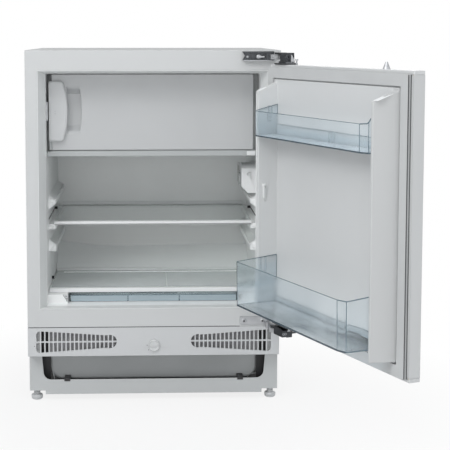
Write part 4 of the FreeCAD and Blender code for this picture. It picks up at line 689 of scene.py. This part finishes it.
def door_bin(side, plan, heights, place, flare, thick, ribs, corners):
    """A clear bin with its ribs, and dark tubes along its edges and a dark bead round its base: painted shade.
    """

    def ring(by, z_of):
        return [Vector((p.x, p.y, z_of(n))) for n, p in enumerate(inset(plan, by))]

    def climbing(by, share):
        return ring(by - flare * share, lambda n: TURN + (heights[n] - TURN) * share)

    outer = [ring(TURN * (1 - math.sin(a)), lambda n, a=a: TURN * (1 - math.cos(a))) for a in LEAN]
    outer += [climbing(0, share) for share in UP]
    rim = [ring(-flare + WALL * part, lambda n: heights[n] + RIM_OVER) for part in RIM_SIDES]
    inner = [climbing(WALL, share) for share in reversed(UP)]
    inner += [
        ring(WALL + (TURN - WALL) * (1 - math.sin(a)), lambda n, a=a: WALL + (TURN - WALL) * (1 - math.cos(a)))
        for a in reversed(LEAN)
    ]
    body, node = f"{side}_door_bin", f"{side}_bin"
    shape = Shape().rows(outer + rim + inner)
    for low, high in ribs:
        shape.box(low, high)
    shape.piece(f"{side}_bin_clear", "blue_clear_plastic", body, (node,), place, smooth=32)
    top = ring(-flare + WALL / 2, lambda n: heights[n] + EDGE_OVER)
    base = ring(BASE_INSET, lambda n: BASE_Z)
    _, near, _, far, end = corners
    # Dark keel along the base and up the near corner: painted shade
    keel = Shape().tube(ring(KEEL_INSET, lambda n: KEEL_Z)[near - 2:far + 1], thick, 8)
    keel.tube([base[near], top[near]], thick * KEEL_UPRIGHT, 8)
    keel.piece(f"{side}_bin_keel", "bin_keel", body, (), place, smooth=60)
    # Dark bead, rim and corner tubes: painted shade along the clear walls' edges
    edges = Shape()
    bead = [ring(by, lambda n, level=level: level) for by, level in BEAD]
    for row, after in zip(bead, bead[1:] + bead[:1]):
        edges.rows([row, after], ends=False)
    edges.tube(top + top[:1], EDGE_RADIUS)
    edges.tube(top[far - 4:end + 1], RIM_RADIUS)
    for n in corners:
        edges.tube([base[n], top[n]], CORNER_RADIUS)
    edges.piece(f"{side}_bin_edges", "bin_edge", body, (), place, smooth=60)


# Each bin: depth, front height, rise of its sides, back lip, place on the door, flare, length of the rise, bead
for side, out, high, rise, lip, lift, flare, spread, thick in (
    ("upper", 57.2, 55.8, 14, 24.5, 650, 1.0, 0.2, 1.45),
    ("lower", 101.8, 99.8, 9, 14, 268, 1.4, 0.5, 1.9),
):
    plan = bin_plan(out)
    corners = PLAN_CORNERS + [len(plan) - 1]
    plan, heights = split_back(plan, bin_heights(plan, high, rise, out, spread), lip)
    place = DOOR @ Matrix.Translation((0, 0, lift))
    ribs = [((u, -3, 2.2), (u + 2.2, -1.4, lip - 1)) for u in (280, 300)]
    ribs += [((48, v, high * 0.55), (49.4, v + 3, high + rise - 2)) for v in (-out * 0.42, -out * 0.3)]
    if side == "lower":
        ribs += [((60, -out * k, 2.1), (490, -out * k + 1.6, 3.0)) for k in (0.3, 0.72)]
    door_bin(side, plan, heights, place, flare, thick, ribs, corners)
    if side == "upper":
        # A pale opaque sheet on the bin's floor: painted light where the clear floor looks lit
        mat = arced([(49.5, -2.6), (49.5, 3 - out), (482, 3 - out), (503, 9 - out), (503, -2.6)], 3)
        Shape().prism(mat, *MAT_LEVELS).piece("upper_bin_floor", "bin_floor", "upper_door_bin", (), place)

# Hinges
SEAT = 0.2
HOUSING_FACE = 8.5
TOP_SCREW_Z = 824.8
LOW_SCREW_X, LOW_SCREW_Z = (214, 258), 199
SCREW_HIGH = 1.8
SCREW = ((0, 0.45), (0.3, 0.45), (0.36, 0.95), (0.72, 0.9), (0.95, 0.45), (1, 0), (0, 0))
RIVET = ((2.6, 46.4), (2.6, 47.6), (2.0, 48.3), (0, 48.3), (0, 46.4))
LINK_RADIUS = 11


def screw(shape, x, face, radius):
    """A domed screw head of the top hinge, with a recess, standing on a face towards the front."""
    shape.turned([(radius * r, SCREW_HIGH * h) for r, h in SCREW], facing(x, -face, TOP_SCREW_Z), 20)


def hinge_link(name, low, high, replaced=()):
    """The short link from the cabinet to the pin, round at the pin, with two rivets."""
    turns = [math.radians(a) for a in range(-90, 100, 15)]
    around = [(PIN_X + LINK_RADIUS * math.cos(t), PIN_Y + LINK_RADIUS * math.sin(t)) for t in turns]
    link = Shape().prism([(270, -0.5), (270, -41), (276, -47)] + around + [(283, -22), (283, -0.5)], low, high)
    for x in (275.5, 290):
        link.turned(RIVET, facing(x, 0, (low + high) / 2), 16)
    for z in (low + 1.6, high - 1.6):
        link.prism(flat(276.5, 290.5, z - 0.4, z + 0.4), 46.6, 47.5, FRONT)
    link.piece(name, "galvanised", "cabinet", replaced, bevel=0.5)


housing = Shape().layers(
    FRONT,
    ([(207, 817), (213.5, 827), (207, 837), (281, 837), (281, 817)], SEAT, HOUSING_FACE),
    ([(207, 837), (209.5, 833.2), (281, 833.8), (281, 837)], HOUSING_FACE, 14),
    ([(207, 817), (209.5, 820.5), (281, 819.6), (281, 817)], HOUSING_FACE, 12.5),
    (slab(262.5, 280.8, 819, 834, 2), HOUSING_FACE, 11.6),
    (arced([(228, 820.4), (236, 820.4), (238, 833.5), (226, 833.5)], 1), HOUSING_FACE, 10.4),
)
housing.turned([(3.2, 8.4), (3.2, 10.6), (6.2, 10.6), (7.2, 9.4), (7.2, 8.4)], facing(259, 0, 824.6), 24)
housing.piece("top_hinge_shell", "dark_steel", "cabinet", ("top_hinge_housing",), bevel=0.5)
fittings = Shape().layers(
    FRONT,
    ([(209, 815.4), (209, 816.9), (278, 816.9), (278, 815.4)], SEAT, 13.5),
    (arced([(244, 822.4), (258.6, 823.4), (258.6, 826), (244, 827.4)], 1), HOUSING_FACE, 11.2),
)
screw(fittings, 245, 9, 6)
screw(fittings, 219, HOUSING_FACE, 3.4)
fittings.piece("top_hinge_fittings", "galvanised", "cabinet", ("hinge_screws",), bevel=0.2)
hinge_link("top_hinge_link", 819.4, 830.2, ("top_hinge_ear",))
arm = Shape().layers(
    HERE,
    (arced([(-20, 26), (-18, 42), (4, 44), (30, 35), (62, 35), (62, 20), (20, 20)], 6), 831, 835.4),
    (flat(22, 62, 15.4, 35), 812, 816),
    (flat(22, 60, 19, 22), 812, 833),
    (flat(22, 60, 32, 35), 812, 831),
    (flat(57, 60, 15.4, 35), 812, 835.2),
)
ARM_EYE = LENGTHWISE @ Matrix.Translation((18, 825.5, 0))
arm.turned([(2.7, 59.8), (2.7, 62.6), (5.4, 62.6), (5.4, 59.8)], ARM_EYE, 24)
arm.prism(arced([(16, 6), (70, 6), (74, 20), (74, 38), (16, 35)], 4), 809.2, 812)
arm.piece("top_hinge_arm_bracket", "dark_steel", "door", ("top_hinge_arm",), DOOR, bevel=0.5)
fin = Shape().layers(
    LENGTHWISE,
    (arced([(23.5, 815), (34, 815), (32.5, 819), (25.5, 831), (23.5, 831)], 0.8), 60, 66),
    (flat(14, 35, 812, 813.4), 60, 70),
)
fin.piece("top_hinge_fin", "galvanised", "door", (), DOOR, bevel=0.4)
mount = Shape().prism(
    arced([(204, 191.5), (268, 190.8), (276, 196), (276, 209.5), (204, 210)], 1.2), SEAT, 3, FRONT
)
for x in LOW_SCREW_X:
    mount.turned([(2.4, 2.9), (2.4, 3.7), (5.2, 3.7), (6.2, 2.9)], facing(x, 0, LOW_SCREW_Z), 24)
mount.prism(slab(264.5, 270, 183.5, 199, 2.4), 3, 16, FRONT)
mount.piece("bottom_hinge_mount", "galvanised", "cabinet", ("bottom_hinge_plate",), bevel=0.4)
holes = Shape()
for x, z, face in [(x, LOW_SCREW_Z, 3.1) for x in LOW_SCREW_X] + [(259, 824.6, 8.6)]:
    holes.turned([(0, face - 2.6), (2.3, face - 2.6), (2.3, face + 0.3), (0, face + 0.3)], facing(x, 0, z), 16)
holes.piece("hinge_screw_holes", "black_plastic", "cabinet")
hinge_link("bottom_hinge_link", 181.6, 191.8)

# Liner ribs: rows of y, width, drop and height along the nose, and shares of width and height across
LINER_HALF = 254
LINER_SIDE = 254.3
RIB_WIDTH = 17.5
RIB_REACH = (140, 280, 425.5)
LOW_NOSE = ((100, 0.6, 7, 3), (104, 5, 2, 9), (109, 10, -4, 14), (116, 14, -8, 18.5), (126, 16.4, -3, 16))
MID_NOSE = (
    (100, 0.6, 9.5, 3.5), (104, 5, 5, 8), (109, 10, 3.4, 9.8), (116, 14, 2.8, 10.4), (126, 16.4, 0.9, 12.6)
)
HIGH_NOSE = (
    (100, 0.6, 19, 3), (104, 5, 14, 9), (109, 10, 8, 14), (116, 14, 3.5, 17), (126, 16.4, 0.9, 18.5)
)
RIBS = (("low", 362.2, 13.6, LOW_NOSE), ("mid", 416.2, 13.6, MID_NOSE), ("high", 477.2, 19, HIGH_NOSE))
UNDER = ((1, 0.2), (1, 0.55), (0.84, 0.74), (0.45, 0.92), (-0.02, 1.05))
FLAT_TOP = ((-0.4, 0), (0.2, 0), (0.55, 0), (0.88, 0.06)) + UNDER
BLENDED = ((-0.04, -0.54), (0.3, -0.26), (0.62, -0.05), (0.88, 0.06)) + UNDER
for hand, side in HANDS:
    for level, top, full, nose in RIBS:
        section = FLAT_TOP if level == "mid" else BLENDED
        rows = []
        for y, out, drop, high in nose + tuple((y, RIB_WIDTH, 0, full) for y in RIB_REACH):
            across = [LINER_HALF - out * x if x > 0 else LINER_SIDE for x, _ in section]
            down = [top - drop - high * z for _, z in section]
            rows.append([(side * x, y, z) for x, z in zip(across, down)])
        Shape().rows(rows).piece(f"liner_rib_{hand}_{level}", "liner_plastic", "cabinet", smooth=60)

# Raised back of the liner, with its wavy top
RISE_HALF, RISE_PARTS = 253.7, 26
RISE_BASE, RISE_TOP = 262.3, 305.5
RISE_LEFT, RISE_LEFT_WIDTH = 13, 75
RISE_RIGHT, RISE_RIGHT_X, RISE_RIGHT_WIDTH = 3, 60, 40
RISE_FOOT = ((343, 262.3), (347, 264.5), (380, 280.5), (412, 294.8))


def rise_top(x):
    """Height of the raised back: higher in the left corner and a little towards the right."""
    left = RISE_LEFT * math.exp(-(((x + LINER_HALF) / RISE_LEFT_WIDTH) ** 2))
    right = RISE_RIGHT / (1 + math.exp(-(x - RISE_RIGHT_X) / RISE_RIGHT_WIDTH))
    return RISE_TOP + left + right


rows = []
for n in range(RISE_PARTS + 1):
    x = -RISE_HALF + 2 * RISE_HALF * n / RISE_PARTS
    top = rise_top(x)
    rows.append([(x, y, z) for y, z in RISE_FOOT + ((432, top - 3.5), (439.9, top), (440.6, RISE_BASE))])
# The raised back wears the lighter plastic: painted light on its slope
Shape().rows(rows).piece("liner_back_rise", "bright_plastic", "cabinet", smooth=50)

# Crisper corners, clips of the liner, cover rails and joint
CORNER_CURVE = [(217.5, 254.4), (216.5, 251.5), (214.2, 248.2), (211.6, 245), (209.6, 241.4), (208.4, 237.4)]
CORNER_DOT = ((0, -51.2), (1.4, -51.2), (1.1, -50.4), (0, -50.4))
LINER_CLIPS = (
    (250, 3.8, (297, 303), (427, 433)),
    (253.2, 0.7, (105, 298), (428.8, 431)),
    (251, 3, (186, 191), (266, 273)),
)
for hand, side in HANDS:
    outline = [(side * x, z) for x, z in CORNER_CURVE + [(206.1, 236), (206.1, 254.4)]]
    corner = Shape().prism(outline, -52, -51, FRONT)
    corner.piece(f"crisper_corner_{hand}", "flap_trim", "cabinet", bevel=0.2)
    clip = Shape().tube([(side * x, 51.1, z) for x, z in CORNER_CURVE], 0.45)
    for x, z in ((210.2, 250.6), (208, 244.6)):
        clip.turned(CORNER_DOT, facing(side * x, 0, z), 12)
    for x, half, (y0, y1), (z0, z1) in LINER_CLIPS:
        clip.box((side * x - half, y0, z0), (side * x + half, y1, z1))
    clip.piece(f"liner_clips_{hand}", "black_plastic", "cabinet", bevel=0.3)
rails = Shape()
for outline, radius, half in (
    ([(343.2, 262.2), (350, 263.4), (350, 266.4), (346, 266.8), (343.2, 264.6)], 0.6, 250.5),
    ([(306.5, 258.7), (311.5, 258.7), (311, 260.2), (307, 260.2)], 0.4, 232),
):
    rails.prism(arced(outline, radius), -half, half, LENGTHWISE)
rails.piece("crisper_cover_rails", "bright_plastic", "cabinet", bevel=0.2)
joint = Shape().box((33, 84, 258.7), (34, 304, 259.1))
for x in (-182, 170):
    joint.box((x, 80.5, 258.7), (x + 5, 83.5, 260.4))
joint.piece("crisper_cover_joint", "grey_plastic", "cabinet", bevel=0.15)

# Shelf, icebox sill, lamp housing and liner floor
for name, look, body, low, high, bevel in (
    # A grey strip on the lower part of the shelf's front trim: painted shade
    ("shelf_front_painted_shade", "shelf_painted_shade_grey", "shelf", (-239, 110.2, 413.9), (239, 110.9, 417), 0.1),
    ("shelf_rear_band", "inner_plastic", "shelf", (-237, 410, 423), (237, 410.6, 430.1), 0.1),
    ("icebox_sill_strip", "sill_plastic", "cabinet", (-246, 76.5, 597.3), (246, 96, 599), 0.3),
):
    Shape().box(low, high).piece(name, look, body, bevel=bevel)
LAMP_CROWN = [
    (120.3, 546), (121.2, 551), (124, 555.6), (130, 559.6), (139, 561.8),
    (150, 562), (200, 556.5), (259.7, 550.8), (259.7, 546),
]
crown = Shape().prism(LAMP_CROWN, 216.4, 253.9, LENGTHWISE)
crown.piece("lamp_housing_crown", "white_plastic", "cabinet", smooth=60)
# A thin sheet of the lighter plastic on the front of the liner's floor: painted light
floor_lip = Shape().box((-253.6, 31.2, 231.9), (253.6, 76, 232.2))
floor_lip.piece("liner_floor_lip", "bright_plastic", "cabinet")

# Crisper drawer's front and the block beside the flap
panels = Shape()
for x0, x1 in ((-200.5, -63.4), (-60.6, 60.6), (63.4, 200.5)):
    panels.prism(slab(x0, x1, 233.4, 247.2, 0.8), -71.6, -70.9, FRONT)
panels.piece("crisper_drawer_panels", "drawer_panel", "drawer", bevel=0.2)
lines = Shape().box((-201.5, 70.9, 247.6), (201.5, 71.6, 248.7))
for x in (-62.6, 61.4):
    lines.box((x, 70.7, 233.2), (x + 1.2, 71.6, 247.6))
lines.piece("crisper_drawer_lines", "bin_edge", "drawer", bevel=0.1)
bearing = Shape().layers(
    FRONT,
    (slab(225, 244.6, 587.3, 596.9, 1.5), -75, -69.5),
    (slab(229, 240.6, 590, 594.5, 1), -70, -68.6),
)
bearing.piece("flap_bearing_block", "inner_plastic", "cabinet", bevel=0.5)

# Icebox flap: handle and grip
HANDLE_Z, HANDLE_HALF = 694, 62
HANDLE_FRONT, HANDLE_BOW, HANDLE_POWER = -203.4, 8.6, 2.2
HANDLE_BEND = [(-248.3, 625), (-247.4, 622.9), (-245.3, 622), (-221, 622), (-216, 623.4), (-212.6, 628)]
HANDLE = list(HANDLE_BEND)
for n in range(-8, 9):
    k = n / 8
    HANDLE.append((HANDLE_FRONT - HANDLE_BOW * abs(k) ** HANDLE_POWER, HANDLE_Z + HANDLE_HALF * k))
HANDLE += [(x, 2 * HANDLE_Z - z) for x, z in reversed(HANDLE_BEND)]
HANDLE_LAYERS = ((75.2, 0.8), (74, 0.2), (67, 0), (65.2, 0.7), (64.1, 2.2), (64.4, 6))
handle = Shape().rows([[(p.x, y, p.y) for p in inset(HANDLE, by)] for y, by in HANDLE_LAYERS])
handle.prism(slab(-247.6, -244.6, 627, 761, 1.2), -66, -63.2, FRONT)
handle.piece("flap_handle_plate", "flap_trim", "flap", ("flap_handle",), smooth=50)
dots = Shape()
for z in (694.6, 688.8):
    dots.turned([(0, -64.8), (1.1, -64.8), (1.1, -64.05), (0, -64.05)], facing(-233, 0, z), 12)
dots.piece("flap_handle_dots", "grey_plastic", "flap")
scoop = Shape()
SCOOP_ENDS = ((752.2, -1), (640.8, 1))
SCOOP_BOWL = ((75.6, 0), (76.4, 3.2), (80, 6.5), (86, 9.5), (92.2, 18), (92.2, 0))
SCOOP_WEB = ((-171, 0), (-171, 14), (-174, 7), (-179, 2.4), (-186, 0))
for z, turn in SCOOP_ENDS:
    scoop.prism([(y, z + turn * h) for y, h in SCOOP_BOWL], -205, -171.2, LENGTHWISE)
for z, turn in SCOOP_ENDS:
    scoop.prism([(x, z + turn * h) for x, h in SCOOP_WEB], -92, -75.4, FRONT)
# The grip wears the flap's darker plastic: painted shade
scoop.piece("flap_grip_scoops", "flap_painted_shade", "flap", smooth=60)

# Door: a lug on the rib near the hinge
lug = Shape().layers(
    HERE,
    (arced([(45.2, -36), (49, -35.4), (49, -32.4), (45.2, -31.6)], 0.8), 509, 540),
    (arced([(45.2, -38), (51, -36.5), (51, -30.5), (45.2, -29)], 1), 536.5, 541.5),
)
lug.piece("door_switch_lug", "inner_plastic", "door", (), DOOR, bevel=0.4)

# Pressed front frame and the strips at the flap's hinge side
FRAME_OUTSIDE = (298, 186, 840)
FRAME_INSIDE = (270, 230, 793.5)
FRAME_DEPTH = 12
rings = []
for (half, low, high), y in (
    (FRAME_OUTSIDE, 0),
    (FRAME_OUTSIDE, FRAME_DEPTH),
    (FRAME_INSIDE, FRAME_DEPTH),
    (FRAME_INSIDE, 0),
    (FRAME_OUTSIDE, 0),
):
    rings.append([(x, y, z) for x, z in flat(-half, half, low, high)])
pressed = Shape().rows(rings, ends=False)
pressed.piece("pressed_front_frame", "white_steel", "cabinet", ("front_frame",), bevel=1.2)
for name, look, x1, z0, z1, high in (
    ("flap_hinge_strip", "strip_grey", -241.4, 752, 781.4, -74.6),
    ("flap_hinge_strip_low", "sill_plastic", -242.4, 601, 636, -74.7),
):
    strip = Shape().prism(flat(-247.8, x1, z0, z1), -75.4, high, FRONT)
    strip.piece(name, look, "flap", bevel=0.2)

# Ventilation grille and feet
for hand, side in HANDS:
    lip = Shape().prism(flat(side * 270, side * 279, 118, 185), -17, -15, FRONT)
    lip.piece(f"grille_side_lip_{hand}", "white_steel", "cabinet", bevel=0.3)
FOOT = (
    (0, 0), (10.5, 0), (12.6, 1.6), (13.5, 5), (13.5, 9.5), (12.4, 11.6), (9, 12.6), (7.2, 13),
    (7.0, 15.2), (7.6, 15.6), (7.6, 18.5), (6.6, 19), (6.0, 22), (6.0, 54), (0, 54),
)
FOOT_X = {"left": -282, "right": 282}
FOOT_Y = {"front": 52, "rear": 470}
FLUTES, FLUTE_DEPTH = 12, 0.018
for fore in FOOT_Y:
    for hand in FOOT_X:
        place = Matrix.Translation((FOOT_X[hand], FOOT_Y[fore], 0))
        foot = Shape().turned(FOOT, place, 48, FLUTES, FLUTE_DEPTH)
        body = f"{fore}_{hand}_foot"
        foot.piece(f"{body}_pad", "flap_trim", body, (f"foot_{fore}_{hand}",), smooth=35)

# Quarter-turn cap, seams and small marks on the front
CAP = facing(0, 0, 142)
CAP_DISH = ((0, 0.2), (13.9, 0.2), (13.9, 3.4), (12.9, 5.0), (11.8, 5.2), (11.0, 4.2), (10.4, 3.4), (0, 3.4))
cap = Shape().turned(CAP_DISH, CAP, 48)
cap.prism(slab(-10.2, 10.2, 139.8, 144.2, 1.4), 3.2, 5.6, FRONT)
cap.turned([(0, -7.8), (6, -7.8), (6, 0.4), (0, 0.4)], CAP, 24)
cap.piece("grille_cap_disc", "white_plastic", "quarter_turn_cap", ("grille_cap",), bevel=0.35)
marks = Shape()
for x, z in ((-16.2, 142), (-12.5, 130.5), (-282.4, 141.6)):
    marks.turned([(0, -0.4), (1.0, -0.4), (1.0, 0.12), (0, 0.12)], facing(x, 0, z), 12)
marks.piece("front_marks", "black_plastic", "cabinet")
seam = Shape()
for x0, x1 in ((-296.5, 203.6), (276.5, 296.5)):
    seam.prism(flat(x0, x1, 185.5, 187.3), -1.6, 0.25, FRONT)
seam.piece("front_seam_shadow_gap", "strip_grey", "cabinet")
seam = Shape().prism(flat(-274, -273.3, 187.5, 229), -0.2, 0.3, FRONT)
seam.piece("front_corner_seam", "white_steel", "cabinet", bevel=0.1)

# Door: the bottom hinge's bracket and rings, the gasket's dark lines of painted shade and painted highlights
# along the edges of the liner's ribs
bracket = Shape().prism([(20, 186), (62, 186), (62, 201), (56, 205), (20, 205)], 8, 20, INWARD)
bracket.piece("bottom_hinge_bracket", "dark_steel", "door", (), DOOR, bevel=0.6)
rings = Shape()
for v in (11, 16.5):
    eye = LENGTHWISE @ Matrix.Translation((v, 193.5, 0))
    rings.turned([(1.7, 61.8), (1.7, 62.8), (2.8, 62.8), (2.8, 61.8)], eye, 20)
rings.prism([(20, 199), (29, 199), (24, 206)], 61.8, 64, LENGTHWISE)
rings.piece("bottom_hinge_rings", "galvanised", "door", (), DOOR, bevel=0.2)
# Near-black strips at the gasket's root and grooves: painted shade in its creases
for name, look, boxes in (
    (
        "door_gasket_root",
        "gasket_root",
        (
            ((2, 7.9, 219), (4.5, 9.6, 801)),
            ((555.5, 7.9, 219), (558, 9.6, 801)),
            ((2, 7.9, 219), (558, 9.6, 221.5)),
            ((2, 7.9, 798.5), (558, 9.6, 801)),
        ),
    ),
    (
        "door_gasket_grooves",
        "strip_grey",
        (((559.9, 1.2, 219), (560.5, 3.4, 801)), ((560.1, 7.0, 219), (561.8, 8.2, 801))),
    ),
):
    lines = Shape()
    for low, high in boxes:
        lines.box(low, high)
    lines.piece(name, look, "door", (), DOOR)
# Bright strips along the ribs' top slopes and a front edge: painted highlights
crown = Shape()
for near, far in ((31.6, 43.4), (511.5, 526.5)):
    crown.prism([(4, 768.4), (-43.5, 751.2), (-43.7, 752.0), (4, 769.2)], near, far, LENGTHWISE)
crown.prism(slab(-47.25, -46.6, 246, 744, 0.2), 33.6, 36.4, LENGTHWISE)
crown.piece("door_liner_painted_highlights", "bright_plastic", "door", (), DOOR, bevel=0.25)

# Grey strips beside the icebox flap
sides = Shape()
for x0, x1 in ((-253.8, -248.6), (240.6, 253.8)):
    sides.prism(flat(x0, x1, 598, 784), -101, -99, FRONT)
sides.piece("icebox_side_strips", "grey_plastic", "cabinet", bevel=0.3)

# Back: a sheet with shallow pressed beads and its screws
BACK_HALF = 296.8
sheet = Shape().prism(slab(-BACK_HALF, BACK_HALF, 227.2, 838.8, 2), 0, 0.35, BACK)
sheet.piece("back_sheet", "white_steel", "cabinet", ("back_panel",), bevel=0.1)
beads = Shape()
for x in (-190, 0, 190):
    beads.prism(slab(x - 26, x + 26, 300, 770, 24, 8), 0.2, 0.95, BACK)
beads.piece("back_sheet_beads", "wrap_painted_shade", "cabinet", bevel=0.6, segments=3)
BACK_SCREW = ((0, 0.2), (4.6, 0.2), (4.6, 0.5), (3.4, 0.95), (1.4, 0.98), (1.2, 0.55), (0, 0.55))
BACK_SCREWS = [(x, z) for x in (-284, -95, 95, 284) for z in (240, 826)]
BACK_SCREWS += [(x, z) for x in (-284, 284) for z in (436, 632)]
fixings = Shape()
for x, z in BACK_SCREWS:
    fixings.turned(BACK_SCREW, BACK @ Matrix.Translation((x, z, 0)), 20)
fixings.piece("back_sheet_screws", "galvanised", "cabinet", smooth=35)

# Sizes
low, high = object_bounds()
